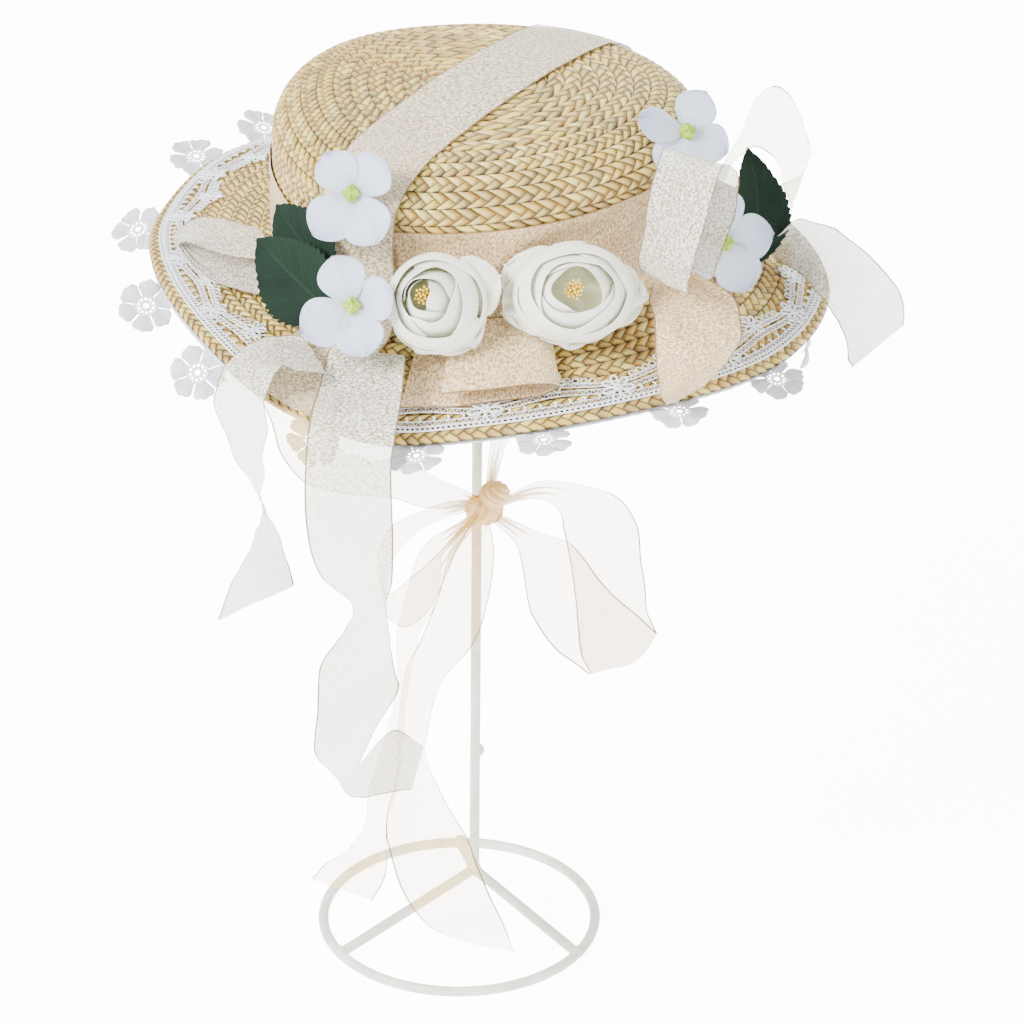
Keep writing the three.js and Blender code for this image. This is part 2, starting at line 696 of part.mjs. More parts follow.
// Ribbon tables. drop, aside and ahead are shares of each piece's own length.
const TIE_TAIL_LEFT = 209;
const TIE_TAIL_LEFT_ROWS = [
  { drop: 0.0, aside: 0.0, ahead: 0.0, turn: -60, tip: 14, full: 0.35 },
  { drop: 0.05, aside: -0.06, ahead: 0.02, turn: -70, tip: 24, full: 0.85 },
  { drop: 0.16, aside: -0.09, ahead: 0.04, turn: -65, tip: 23 },
  { drop: 0.27, aside: -0.12, ahead: 0.05, turn: -72, tip: 30 },
  { drop: 0.43, aside: -0.14, ahead: 0.06, turn: -79, tip: 31 },
  { drop: 0.55, aside: -0.16, ahead: 0.07, turn: -74, tip: 26 },
  { drop: 0.65, aside: -0.18, ahead: 0.08, turn: -68, tip: 28 },
  { drop: 0.74, aside: -0.2, ahead: 0.08, turn: -67, tip: 38 },
  { drop: 0.82, aside: -0.22, ahead: 0.08, turn: -56, tip: 28 },
  { drop: 0.88, aside: -0.25, ahead: 0.08, turn: -40, tip: 12 },
  { drop: 0.93, aside: -0.28, ahead: 0.08, turn: -41, tip: 6 },
];

const TIE_TAIL_RIGHT = 239;
const TIE_TAIL_RIGHT_ROWS = [
  { drop: 0.0, aside: 0.0, ahead: 0.0, turn: -58, tip: 25, full: 0.3 },
  { drop: 0.05, aside: -0.02, ahead: 0.01, turn: -48, tip: 26, full: 0.85 },
  { drop: 0.15, aside: -0.04, ahead: 0.03, turn: -48, tip: 22 },
  { drop: 0.24, aside: -0.07, ahead: 0.04, turn: -49, tip: 21 },
  { drop: 0.32, aside: -0.12, ahead: 0.05, turn: -62, tip: 21 },
  { drop: 0.43, aside: -0.14, ahead: 0.06, turn: -68, tip: 19 },
  { drop: 0.52, aside: -0.14, ahead: 0.07, turn: -61, tip: 35 },
  { drop: 0.6, aside: -0.13, ahead: 0.08, turn: -38, tip: 24 },
  { drop: 0.68, aside: -0.11, ahead: 0.09, turn: 0, tip: -1 },
  { drop: 0.78, aside: -0.08, ahead: 0.1, turn: 0, tip: 8 },
  { drop: 0.87, aside: -0.03, ahead: 0.11, turn: -26, tip: 23 },
  { drop: 0.92, aside: 0.03, ahead: 0.12, turn: -62, tip: 25 },
];

const BOW_RIGHT = 239;
const BOW_RIGHT_ROWS = [
  { drop: 0.000, aside: 0.000, ahead: 0.000, turn: -20, tip: 60, full: 0.3 },
  { drop: -0.017, aside: 0.049, ahead: 0.000, turn: -30, tip: 55, full: 0.35 },
  { drop: -0.003, aside: 0.100, ahead: -0.017, turn: -40, tip: 40, full: 0.6 },
  { drop: 0.036, aside: 0.155, ahead: -0.038, turn: -27, tip: 27, full: 0.85 },
  { drop: 0.111, aside: 0.182, ahead: -0.067, turn: -24, tip: 14 },
  { drop: 0.187, aside: 0.191, ahead: -0.079, turn: -28, tip: 15 },
  { drop: 0.253, aside: 0.200, ahead: -0.075, turn: -28, tip: 18 },
  { drop: 0.310, aside: 0.209, ahead: -0.054, turn: -24, tip: 25 },
  { drop: 0.351, aside: 0.223, ahead: -0.013, turn: -10, tip: 27 },
  { drop: 0.334, aside: 0.229, ahead: 0.046, turn: -4, tip: 38 },
  { drop: 0.278, aside: 0.193, ahead: 0.079, turn: 0, tip: 44 },
  { drop: 0.225, aside: 0.144, ahead: 0.092, turn: 2, tip: 47 },
  { drop: 0.155, aside: 0.099, ahead: 0.088, turn: -5, tip: 47 },
  { drop: 0.090, aside: 0.072, ahead: 0.063, turn: -22, tip: 37, full: 0.75 },
  { drop: 0.068, aside: 0.041, ahead: 0.038, turn: -25, tip: 33, full: 0.45 },
  { drop: 0.050, aside: -0.014, ahead: 0.021, turn: -25, tip: 30, full: 0.2 },
];

const BOW_LEFT = 147;
const BOW_LEFT_ROWS = [
  { drop: 0.000, aside: 0.000, ahead: 0.000, turn: -85, tip: 2, full: 0.3 },
  { drop: 0.043, aside: -0.082, ahead: -0.027, turn: -76, tip: 17, full: 0.7 },
  { drop: 0.118, aside: -0.184, ahead: -0.051, turn: -82, tip: 18 },
  { drop: 0.195, aside: -0.252, ahead: -0.051, turn: -86, tip: 6 },
  { drop: 0.271, aside: -0.270, ahead: 0.048, turn: -84, tip: -6 },
  { drop: 0.301, aside: -0.231, ahead: 0.156, turn: -78, tip: 6 },
  { drop: 0.179, aside: -0.136, ahead: 0.245, turn: -74, tip: 6, full: 0.85 },
  { drop: 0.050, aside: -0.034, ahead: 0.170, turn: -78, tip: 12, full: 0.4 },
  { drop: 0.012, aside: 0.017, ahead: 0.082, turn: -85, tip: 12, full: 0.2 },
];


// Tails that leave the trimming
const LEFT_TAIL = 160;
const LEFT_TAIL_ROWS = [
  { drop: 0.0, aside: 0.0, ahead: 0.0, turn: -69, tip: -8, full: 0.8 },
  { drop: -0.01, aside: -0.1, ahead: 0.02, turn: -63, tip: 3 },
  { drop: 0.01, aside: -0.17, ahead: 0.04, turn: -45, tip: 20 },
  { drop: 0.12, aside: -0.21, ahead: 0.04, turn: -49, tip: 23 },
  { drop: 0.23, aside: -0.2, ahead: 0.04, turn: -54, tip: 26 },
  { drop: 0.32, aside: -0.19, ahead: 0.03, turn: -66, tip: 30 },
  { drop: 0.4, aside: -0.17, ahead: 0.02, turn: -77, tip: 32 },
  { drop: 0.46, aside: -0.16, ahead: 0.02, turn: -86, tip: 29 },
  { drop: 0.52, aside: -0.15, ahead: 0.02, turn: -94, tip: 26 },
  { drop: 0.59, aside: -0.15, ahead: 0.02, turn: -108, tip: 25 },
  { drop: 0.69, aside: -0.16, ahead: 0.02, turn: -125, tip: 17 },
  { drop: 0.81, aside: -0.18, ahead: 0.02, turn: -154, tip: -13 },
];

const LONG_TAIL = 275;
const LONG_TAIL_ROWS = [
  { drop: 0.0, aside: 0.0, ahead: 0.0, turn: -28, tip: 6 },
  { drop: 0.03, aside: -0.01, ahead: 0.08, turn: -14, tip: 6 },
  { drop: 0.05, aside: -0.02, ahead: 0.14, turn: 0, tip: -1 },
  { drop: 0.13, aside: -0.03, ahead: 0.15, turn: -11, tip: 3 },
  { drop: 0.25, aside: -0.03, ahead: 0.15, turn: -1, tip: -4 },
  { drop: 0.35, aside: -0.02, ahead: 0.15, turn: -31, tip: 13 },
  { drop: 0.4, aside: 0.0, ahead: 0.15, turn: -61, tip: 28 },
  { drop: 0.46, aside: 0.0, ahead: 0.15, turn: -56, tip: 20 },
  { drop: 0.53, aside: -0.02, ahead: 0.15, turn: -27, tip: 10 },
  { drop: 0.59, aside: -0.02, ahead: 0.15, turn: -5, tip: 19 },
  { drop: 0.66, aside: -0.04, ahead: 0.16, turn: -30, tip: 35 },
  { drop: 0.73, aside: -0.04, ahead: 0.155, turn: -71, tip: 38 },
  { drop: 0.75, aside: -0.02, ahead: 0.13, turn: -64, tip: 59 },
  { drop: 0.73, aside: 0.03, ahead: 0.12, turn: -40, tip: 78 },
  { drop: 0.74, aside: 0.08, ahead: 0.12, turn: -72, tip: 61 },
];

const FRONT_TAIL = 77;
const FRONT_TAIL_ROWS = [
  { drop: 0.000, aside: 0.000, ahead: 0.000, turn: -48, tip: 30, full: 0.8 },
  { drop: 0.019, aside: 0.097, ahead: 0.260, turn: 0, tip: 2 },
  { drop: 0.113, aside: 0.127, ahead: 0.468, turn: -4, tip: -5 },
  { drop: 0.240, aside: 0.065, ahead: 0.675, turn: -42, tip: 16 },
  { drop: 0.353, aside: -0.013, ahead: 0.805, turn: -70, tip: 28 },
  { drop: 0.391, aside: -0.039, ahead: 0.838, turn: -82, tip: 30 },
];

const SIDE_TAIL = 85;
const SIDE_TAIL_ROWS = [
  { drop: 0, aside: 0, ahead: 0, turn: -80, tip: 30, full: 0.7 },
  { drop: -0.053, aside: 0.152, ahead: 0.071, turn: -74, tip: 58 },
  { drop: -0.035, aside: 0.304, ahead: 0.188, turn: -52, tip: 62 },
  { drop: 0.059, aside: 0.456, ahead: 0.322, turn: -34, tip: 62 },
  { drop: 0.194, aside: 0.572, ahead: 0.402, turn: -17, tip: 55 },
  { drop: 0.306, aside: 0.608, ahead: 0.424, turn: 0, tip: 51 },
  { drop: 0.394, aside: 0.622, ahead: 0.453, turn: 5, tip: 42, full: 0.8 },
];

// Straps from the brim's edge down to the knot
const STRAP_LEFT = 172;
const STRAP_LEFT_ROWS = [
  { drop: 0.0, aside: 0.0, ahead: 0.0, turn: -35, tip: -2 },
  { drop: 0.04, aside: 0.04, ahead: 0.04, turn: -32, tip: 3 },
  { drop: 0.1, aside: 0.08, ahead: 0.05, turn: -16, tip: 4 },
  { drop: 0.17, aside: 0.12, ahead: 0.03, turn: 40, tip: -8 },
  { drop: 0.25, aside: 0.17, ahead: -0.08, turn: 73, tip: -7 },
  { drop: 0.34, aside: 0.26, ahead: -0.23, turn: 91, tip: -5 },
  { drop: 0.44, aside: 0.33, ahead: -0.36, turn: 89, tip: -3 },
  { drop: 0.54, aside: 0.41, ahead: -0.48, turn: 88, tip: -12 },
  { drop: 0.59, aside: 0.465, ahead: -0.565, turn: 92, tip: -7, full: 0.35 },
];

const STRAP_RIGHT = 190;
const STRAP_RIGHT_ROWS = [
  { drop: 0.0, aside: 0.0, ahead: 0.0, turn: -35, tip: 0 },
  { drop: 0.06, aside: 0.02, ahead: -0.03, turn: -35, tip: 4 },
  { drop: 0.15, aside: -0.02, ahead: 0.05, turn: -42, tip: 12 },
  { drop: 0.28, aside: -0.1, ahead: 0.24, turn: -58, tip: 22 },
  { drop: 0.39, aside: -0.19, ahead: 0.46, turn: -70, tip: 25 },
  { drop: 0.455, aside: -0.265, ahead: 0.7, turn: -72, tip: 25, full: 0.75 },
  { drop: 0.486, aside: -0.29, ahead: 0.836, turn: -74, tip: 20, full: 0.25 },
];

// Loops of the trimming
const LEFT_LOOP_ROWS = [
  { at: 200, out: 0.2, lift: 0.085, turn: 8 },
  { at: 194, out: 0.38, lift: 0.065, turn: 6 },
  { at: 187, out: 0.58, lift: 0.065, turn: 4, full: 0.8 },
  { at: 180, out: 0.72, lift: 0.085, turn: 0, full: 0.4 },
  { at: 177, out: 0.78, lift: 0.165, turn: 0, full: 0.25 },
  { at: 177, out: 0.73, lift: 0.245, turn: 0, full: 0.35 },
  { at: 179, out: 0.55, lift: 0.285, turn: 0, full: 0.75 },
  { at: 184, out: 0.3, lift: 0.305, turn: -4 },
  { at: 189, out: 0.1, lift: 0.305, turn: -6 },
];

const FRONT_LOOP_ROWS = [
  { at: -104, out: 0.4, lift: 0.065, turn: 90 },
  { at: -95, out: 0.4, lift: 0.065, turn: 90 },
  { at: -86, out: 0.4, lift: 0.075, turn: 92 },
  { at: -79, out: 0.42, lift: 0.105, turn: 95 },
  { at: -76, out: 0.43, lift: 0.205, turn: 95 },
  { at: -79, out: 0.42, lift: 0.315, turn: 92 },
  { at: -86, out: 0.4, lift: 0.325, turn: 90 },
  { at: -96, out: 0.38, lift: 0.305, turn: 90 },
];

const ROLL_LOOP = 141;
const ROLL_LOOP_ROWS = [
  { drop: 0.000, aside: 0.000, ahead: 0.000, turn: -54, tip: 9, full: 0.8 },
  { drop: -0.113, aside: 0.028, ahead: -0.050, turn: -54, tip: 9 },
  { drop: -0.241, aside: 0.064, ahead: -0.099, turn: -52, tip: 9 },
  { drop: -0.340, aside: 0.050, ahead: -0.085, turn: -50, tip: 9 },
  { drop: -0.383, aside: 0.004, ahead: -0.046, turn: -48, tip: 9 },
  { drop: -0.262, aside: -0.043, ahead: 0.043, turn: -50, tip: 9 },
  { drop: -0.113, aside: -0.085, ahead: 0.142, turn: -54, tip: 8 },
  { drop: -0.050, aside: -0.092, ahead: 0.174, turn: -57, tip: 8 },
  { drop: -0.02, aside: -0.065, ahead: 0.135, turn: -57, tip: 8, full: 0.85 },
];

const BACK_LOOP = 129;
const BACK_LOOP_ROWS = [
  { drop: 0, aside: -0.045, ahead: 0, turn: 86, tip: 6, full: 0.8 },
  { drop: -0.163, aside: 0.023, ahead: -0.016, turn: 75, tip: 15 },
  { drop: -0.302, aside: 0.093, ahead: -0.039, turn: 75, tip: 18 },
  { drop: -0.357, aside: 0.155, ahead: -0.054, turn: 75, tip: 20 },
  { drop: -0.295, aside: 0.225, ahead: -0.078, turn: 75, tip: 18 },
  { drop: -0.155, aside: 0.279, ahead: -0.093, turn: 75, tip: 15 },
  { drop: -0.039, aside: 0.291, ahead: -0.093, turn: 75, tip: 12 },
  { drop: 0.01, aside: 0.24, ahead: -0.07, turn: 75, tip: 10 },
  { drop: 0.03, aside: 0.14, ahead: -0.03, turn: 75, tip: 10, full: 0.8 },
];

// Flowers: place, with its rise above the brim's plane, looking direction, and each petal's own shape
const BLOSSOMS = [
  {
    name: 'blossom_1', at: [-46, -92, 70.2], look: [-0.25, -0.85, 0.5], seat: 10.2,
    petals: [
      { at: 50, long: 0.95, lift: 10, cup: 0.06 },
      { at: 130, long: 0.9, lift: 10, cup: 0.06 },
      { at: 236, long: 1.08, lift: 6, cup: 0.04 },
      { at: 307, long: 1.12, lift: 6, cup: 0.04 },
    ],
  },
  {
    name: 'blossom_2', at: [-46, -121.5, 28.6], look: [-0.1, -0.85, 0.5], seat: 36.4,
    petals: [
      { at: 18, long: 0.85, lift: 16, cup: 0.06 },
      { at: 113, long: 1, lift: 10, cup: 0.06 },
      { at: 213, long: 1.1, lift: 6, cup: 0.04 },
      { at: 288, long: 1.02, lift: 6, cup: 0.04 },
    ],
  },
  {
    name: 'blossom_3', at: [105.5, -35.5, 72], look: [0.35, -0.66, 0.66], seat: 11.8,
    petals: [
      { at: 50, long: 0.85, lift: 12, cup: 0.06 },
      { at: 157, long: 1.1, lift: 8, cup: 0.06 },
      { at: 228, long: 0.96, lift: -14, cup: 0.02 },
      { at: 318, long: 0.9, lift: 0, cup: 0.02 },
    ],
  },
  {
    name: 'blossom_4', at: [124, -33, 14], look: [0.35, -0.86, 0.36], seat: 9,
    petals: [
      { at: 2, long: 0.95, lift: 10, cup: 0.06 },
      { at: 92, long: 1.1, lift: 8, cup: 0.06 },
      { at: 200, long: 0.95, lift: 8, cup: 0.04 },
      { at: 286, long: 1.05, lift: 4, cup: 0.04 },
    ],
  },
];
const ROSES = [
  { name: 'rose_1', at: [-8.6, -112, 25], look: [0, -0.88, 0.47], wide: 1, seat: 18.4 },
  { name: 'rose_2', at: [54, -99, 23], look: [0.1, -0.88, 0.47], wide: 1.25, seat: 19.5 },
];
const LEAVES = [
  {
    name: 'leaf_left_upper', at: [-53.7, -98, 26.2], along: [-32, 44, 19], up: [-0.6, -0.6, 0.5],
    long: 1, broad: 0.62,
  },
  {
    name: 'leaf_left_lower', at: [-54, -105.2, 13.7], along: [-37, 29, 23], up: [-0.5, -0.7, 0.5],
    long: 0.92, broad: 0.72,
  },
  {
    name: 'leaf_right', at: [134, -27, -4], along: [0.08, 0.35, 0.93], up: [0.5, -0.85, 0.2],
    long: 0.95, broad: 0.62,
  },
];

// Materials

const material = (color, roughness, metalness = 0) => new THREE.MeshStandardMaterial({
  color,
  roughness,
  metalness,
  side: THREE.DoubleSide,
});
const straw = material('#c9b98f', 0.8);
const wire = material('#d9d6cf', 0.5, 0.1);
const crepe = material('#eee5da', 0.6);
const sheer = material('#f1e4d0', 0.5);
const champagne = material('#e3cbb0', 0.6);
const petal = material('#efe3cf', 0.65);
const green = material('#9cae4e', 0.6);
const gold = material('#d8b24a', 0.6);
const foliage = material('#3f5a35', 0.6);
const thread = material('#eee6d4', 0.85);

// A place on the hat: aside, ahead and its rise above the brim's plane.
const onHat = (x, y, rise) => V(x, y, BRIM_HEIGHT + rise);

const group = new THREE.Group();
function addPiece(name, geometry, look) {
  const mesh = new THREE.Mesh(geometry, look);
  mesh.name = name;
  group.add(mesh);
  return mesh;
}

addPiece('stand', standGeometry(), wire);
addPiece('crown', crownGeometry(), straw);
addPiece('brim', brimGeometry(), straw);
addPiece('crown_band', bandGeometry(), champagne);
addPiece('crown_ribbon', crownRibbonGeometry(), sheer);
addPiece('lace', laceGeometry(), thread);
addPiece('daisy_trim', daisyTrimGeometry(), thread);

// A strap starts at the brim's edge, along it, where the ribbon over the crown ends.
function strapGeometry(heading, length, rows) {
  const f = brimFrame(heading, 1, 0);
  const start = f.p.clone().addScaledVector(f.outward, CLEAR + 0.4 * CLOTH).addScaledVector(f.up, CLOTH);
  const sections = freeSections(start, length, rows);
  const sign = Math.sign(f.around.dot(sections[0].w));
  sections[0].w = f.around.clone().multiplyScalar(sign);
  sections[1].w = f.around.clone().multiplyScalar(sign);
  return ribbonGeometry(sections, 18);
}
const leftHeading = -125 * DEG;
const rightHeading = 55 * DEG;
addPiece('strap_left', strapGeometry(leftHeading, STRAP_LEFT, STRAP_LEFT_ROWS), sheer);
addPiece('strap_right', strapGeometry(rightHeading, STRAP_RIGHT, STRAP_RIGHT_ROWS), sheer);

const knotAt = onHat(15, -KNOT_AHEAD, -KNOT_DROP);
function knotGeometry() {
  const ball = new THREE.SphereGeometry(KNOT_SIZE * 0.39, 10, 8).translate(3, -3, 6);
  const body = new THREE.SphereGeometry(1, 10, 8);
  body.scale(KNOT_SIZE * 0.5, KNOT_SIZE * 0.39, KNOT_SIZE * 0.5).translate(-2, 0, -4);
  return join([ball, body]).translate(...knotAt.toArray());
}
addPiece('tie_knot', knotGeometry(), sheer);

const ribbon = (name, start, length, rows, steps, look = sheer) => addPiece(
  name,
  ribbonGeometry(freeSections(onHat(...start), length, rows), steps),
  look,
);
ribbon('tie_tail_left', [1.9, -33, -138.5], TIE_TAIL_LEFT, TIE_TAIL_LEFT_ROWS, 20);
ribbon('tie_tail_right', [11.8, -32, -140], TIE_TAIL_RIGHT, TIE_TAIL_RIGHT_ROWS, 22);
ribbon('bow_loop_right', [25, -31, -124.8], BOW_RIGHT, BOW_RIGHT_ROWS, 30);
ribbon('bow_loop_left', [4, -31, -127.7], BOW_LEFT, BOW_LEFT_ROWS, 18);
ribbon('left_tail', [-63.7, -118.6, 1.8], LEFT_TAIL, LEFT_TAIL_ROWS, 22, crepe);
ribbon('long_tail', [-39.7, -113.4, 1.2], LONG_TAIL, LONG_TAIL_ROWS, 30, crepe);
ribbon('right_front_tail', [101, -72, 16.4], FRONT_TAIL, FRONT_TAIL_ROWS, 12, crepe);
ribbon('right_side_tail', [143.6, -4.3, -2.4], SIDE_TAIL, SIDE_TAIL_ROWS, 12, crepe);
addPiece('left_loop', ribbonGeometry(brimSections(LEFT_LOOP_ROWS), 16), crepe);
addPiece('front_loop', ribbonGeometry(brimSections(FRONT_LOOP_ROWS), 18), crepe);
ribbon('roll_loop', [108, -78.2, 24.1], ROLL_LOOP, ROLL_LOOP_ROWS, 20, crepe);
ribbon('back_loop', [123, 2.1, 12.2], BACK_LOOP, BACK_LOOP_ROWS, 18, crepe);

for (const b of BLOSSOMS) {
  const cone = new THREE.ConeGeometry(4, b.seat, 8).rotateX(-Math.PI / 2).translate(0, 0, -b.seat / 2 + 0.6);
  const g = join([blossomGeometry(BLOSSOM, b.petals), cone]);
  addPiece(b.name, pose(g, onHat(...b.at), V(...b.look)), petal);
  const heart = heartGeometry(BLOSSOM * 0.15, BLOSSOM * 0.13).translate(0, 0, CLOTH + 4 * CLEAR);
  addPiece(b.name + '_heart', pose(heart, onHat(...b.at), V(...b.look)), green);
}
for (const r of ROSES) {
  const cone = new THREE.ConeGeometry(6, r.seat, 8).rotateX(-Math.PI / 2).translate(0, 0, -r.seat / 2 + 0.6);
  const g = join([roseGeometry(ROSE, r.wide), cone]);
  addPiece(r.name, pose(g, onHat(...r.at), V(...r.look)), petal);
  const heart = heartGeometry(ROSE * 0.16, ROSE * 0.14).translate(0, 0, ROSE * 0.177);
  addPiece(r.name + '_heart', pose(heart, onHat(...r.at), V(...r.look)), gold);
}
for (const l of LEAVES) {
  const y = V(...l.along).normalize();
  const x = y.clone().cross(V(...l.up)).normalize();
  const m = new THREE.Matrix4().makeBasis(x, y, x.clone().cross(y));
  const g = leafGeometry(LEAF * l.long, l.broad, 0.12, 0.25).applyMatrix4(m).translate(...onHat(...l.at));
  addPiece(l.name, g, foliage);
}

const box = new THREE.Box3().setFromObject(group);
const middle = box.getCenter(V());
group.children.forEach((mesh) => mesh.geometry.translate(-middle.x, -middle.y, -box.min.z));

export default group;
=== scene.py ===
# %% [markdown]
# # A trimmed straw hat on a wire stand
# The hat is sewn from one long plait of straw. It carries a gathered band, a tie ribbon, loops and
# tails of crinkled ribbon, cloth blossoms and roses, leaves, and cotton lace round the brim.
# The solids of the CAD model are loaded first and stay where they are. Every dressed piece below
# is made from the same named sizes, so it lands where its solid is, with no fitting afterwards.

# %% Load the frame
import functools
import math

import bmesh
import bpy
from mathutils import Matrix, Vector, noise


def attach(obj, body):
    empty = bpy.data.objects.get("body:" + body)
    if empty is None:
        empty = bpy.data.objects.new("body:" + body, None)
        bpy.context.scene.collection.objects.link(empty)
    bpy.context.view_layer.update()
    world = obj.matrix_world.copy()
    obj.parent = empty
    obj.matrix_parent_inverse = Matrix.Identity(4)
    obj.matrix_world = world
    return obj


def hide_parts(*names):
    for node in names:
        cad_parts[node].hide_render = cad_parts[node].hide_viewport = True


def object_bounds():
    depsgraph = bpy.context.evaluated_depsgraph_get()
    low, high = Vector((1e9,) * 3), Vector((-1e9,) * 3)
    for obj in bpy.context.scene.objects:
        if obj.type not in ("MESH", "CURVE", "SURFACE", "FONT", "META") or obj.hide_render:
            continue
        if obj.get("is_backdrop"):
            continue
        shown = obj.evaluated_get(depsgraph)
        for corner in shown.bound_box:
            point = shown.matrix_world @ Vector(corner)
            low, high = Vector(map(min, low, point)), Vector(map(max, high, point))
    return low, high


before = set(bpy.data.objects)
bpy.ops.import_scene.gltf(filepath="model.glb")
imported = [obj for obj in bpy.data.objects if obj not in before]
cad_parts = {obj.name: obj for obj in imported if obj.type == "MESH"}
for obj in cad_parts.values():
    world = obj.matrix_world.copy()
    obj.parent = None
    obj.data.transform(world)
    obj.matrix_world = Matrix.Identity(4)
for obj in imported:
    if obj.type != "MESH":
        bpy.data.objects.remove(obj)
cad_low, cad_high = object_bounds()
print("solids:", len(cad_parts), "box in mm:", [round(x * 1000) for x in cad_high - cad_low])

# %% [markdown]
# Sizes are in millimetres about the middle of the base ring, because a maker thinks in those.
# One function turns such a point into Blender's metres, about the middle of the whole object.

# %% Sizes shared by many pieces
RING_TO_ROW = Vector((23.2723, -6.2452, 0))
STRAW = 2.0
CLEAR = 0.3
CLOTH = 1.0
RIBBON = 40.0
BAND_CUT = 60.0  # width of the band's ribbon before it is gathered
TURN_ROUND = 2 * math.pi


def metres(point):
    """A point in millimetres about the base ring, as a point in Blender."""
    return (Vector(point) - RING_TO_ROW) / 1000


# %% [markdown]
# ## Camera, floor and light
# A long lens from a few metres away keeps the flat, calm perspective of a catalogue picture. The
# light is soft and comes from all round, with one large panel on the left to shape the straw.
# A bright floor throws light back up under the brim, as a white studio table does.

# %% Camera
AIM = metres((26.03, 0, 233.04))
LOOK_DOWN = math.radians(30.156)
DISTANCE = 3.6

camera_data = bpy.data.cameras.new("camera")
camera_data.lens = 264.65
camera_data.sensor_width = 36
camera_data.clip_end = 50
camera = bpy.data.objects.new("camera", camera_data)
bpy.context.scene.collection.objects.link(camera)
camera.location = AIM + DISTANCE * Vector((0, -math.cos(LOOK_DOWN), math.sin(LOOK_DOWN)))
camera.rotation_euler = (math.pi / 2 - LOOK_DOWN, 0, 0)
bpy.context.scene.camera = camera
print("camera at", [round(x, 3) for x in camera.location])

# %% [markdown]
# The floor is a light table. The camera sees it burn out to white, and the hat gets a softer
# glow. Three square panels and a white world light the rest.

# %% Floor, panels and surrounding light
GLOW_ON_HAT = 1.9
GLOW_IN_CAMERA = 11.0

world = bpy.data.worlds.new("studio")
bpy.context.scene.world = world
world.use_nodes = True
world.node_tree.nodes["Background"].inputs["Color"].default_value = (1, 1, 1, 1)
world.node_tree.nodes["Background"].inputs["Strength"].default_value = 1.15

floor_mesh = bmesh.new()
bmesh.ops.create_grid(floor_mesh, x_segments=2, y_segments=2, size=14)
floor_data = bpy.data.meshes.new("floor")
floor_mesh.to_mesh(floor_data)
floor_mesh.free()
floor = bpy.data.objects.new("floor", floor_data)
bpy.context.scene.collection.objects.link(floor)
floor.location = (0, 0, -0.0004)
floor_paint = bpy.data.materials.new("floor_paint")
floor_paint.use_nodes = True
floor_tree = floor_paint.node_tree
table = floor_tree.nodes["Principled BSDF"].inputs
table["Base Color"].default_value = (0.93, 0.93, 0.93, 1)
table["Roughness"].default_value = 0.9
seen = floor_tree.nodes.new("ShaderNodeLightPath").outputs["Is Camera Ray"]
glow = floor_tree.nodes.new("ShaderNodeMapRange")
glow.inputs["To Min"].default_value = GLOW_ON_HAT
glow.inputs["To Max"].default_value = GLOW_IN_CAMERA
floor_tree.links.new(seen, glow.inputs["Value"])
floor_tree.links.new(glow.outputs[0], table["Emission Strength"])
table["Emission Color"].default_value = (1, 1, 1, 1)
floor_data.materials.append(floor_paint)
floor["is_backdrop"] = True


def panel(name, place, size, watts):
    """A square light panel that faces the hat."""
    lamp = bpy.data.lights.new(name, "AREA")
    lamp.size = size
    lamp.energy = watts
    shown = bpy.data.objects.new(name, lamp)
    shown.location = place
    shown.rotation_euler = (AIM - Vector(place)).to_track_quat("-Z", "Y").to_euler()
    bpy.context.scene.collection.objects.link(shown)


panel("panel_left", (-1.7, -1.3, 2.0), 1.0, 205)
panel("panel_right", (1.8, -0.8, 1.4), 1.6, 40)
panel("panel_back", (0.2, 1.8, 2.0), 1.8, 45)

# %% [markdown]
# ## How a piece is made here
# A sheet of cloth, a row of straw or a petal is the same thing to a modeller: a flat grid that is
# then bent. So one helper makes the grid with Blender's own operator, keeps its flat size as a UV
# map in millimetres, and moves every corner to where a small function says. The UV map lets a
# weave follow the cloth, however the cloth bends.

# %% Helper: a grid that is bent into shape
def bent_grid(along, across, place, flat=(1.0, 1.0)):
    """A grid of along by across cells; place(u, v) gives each corner in millimetres."""
    made = bmesh.new()
    bmesh.ops.create_grid(made, x_segments=along, y_segments=across, size=0.5)
    uv = made.loops.layers.uv.new("flat")
    for face in made.faces:
        for loop in face.loops:
            u, v = loop.vert.co.x + 0.5, loop.vert.co.y + 0.5
            loop[uv].uv = (u * flat[0], v * flat[1])
    for vert in made.verts:
        vert.co = metres(place(vert.co.x + 0.5, vert.co.y + 0.5))
    return made


def close_seam(grid):
    """Welds the first and the last column of a grid that goes right round."""
    bmesh.ops.remove_doubles(grid, verts=grid.verts, dist=2e-6)


def add_grid(bm, grid):
    """Puts a finished grid into a mesh that is being gathered."""
    spare = bpy.data.meshes.new("spare")
    grid.to_mesh(spare)
    grid.free()
    bm.from_mesh(spare)
    bpy.data.meshes.remove(spare)


# %% [markdown]
# A finished mesh becomes an object that rides on the hat. It wears its look, and the solid it
# stands for is hidden.

# %% Helper: a finished piece
def piece_of(name, bm, material, node):
    """Makes an object of a mesh, lets it ride on the hat and hides the solid it stands for."""
    bmesh.ops.recalc_face_normals(bm, faces=bm.faces)
    mesh = bpy.data.meshes.new(name)
    bm.to_mesh(mesh)
    bm.free()
    mesh.materials.append(material)
    mesh.shade_smooth()
    piece = bpy.data.objects.new(name, mesh)
    bpy.context.scene.collection.objects.link(piece)
    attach(piece, "root")
    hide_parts(node)
    print(name, "faces:", len(mesh.polygons))
    return piece


# %% [markdown]
# Threads, wire and stems are round all along, so they are drawn as curves with a round bevel and
# then turned into a mesh. That is quicker than modelling tubes and never leaves a gap.

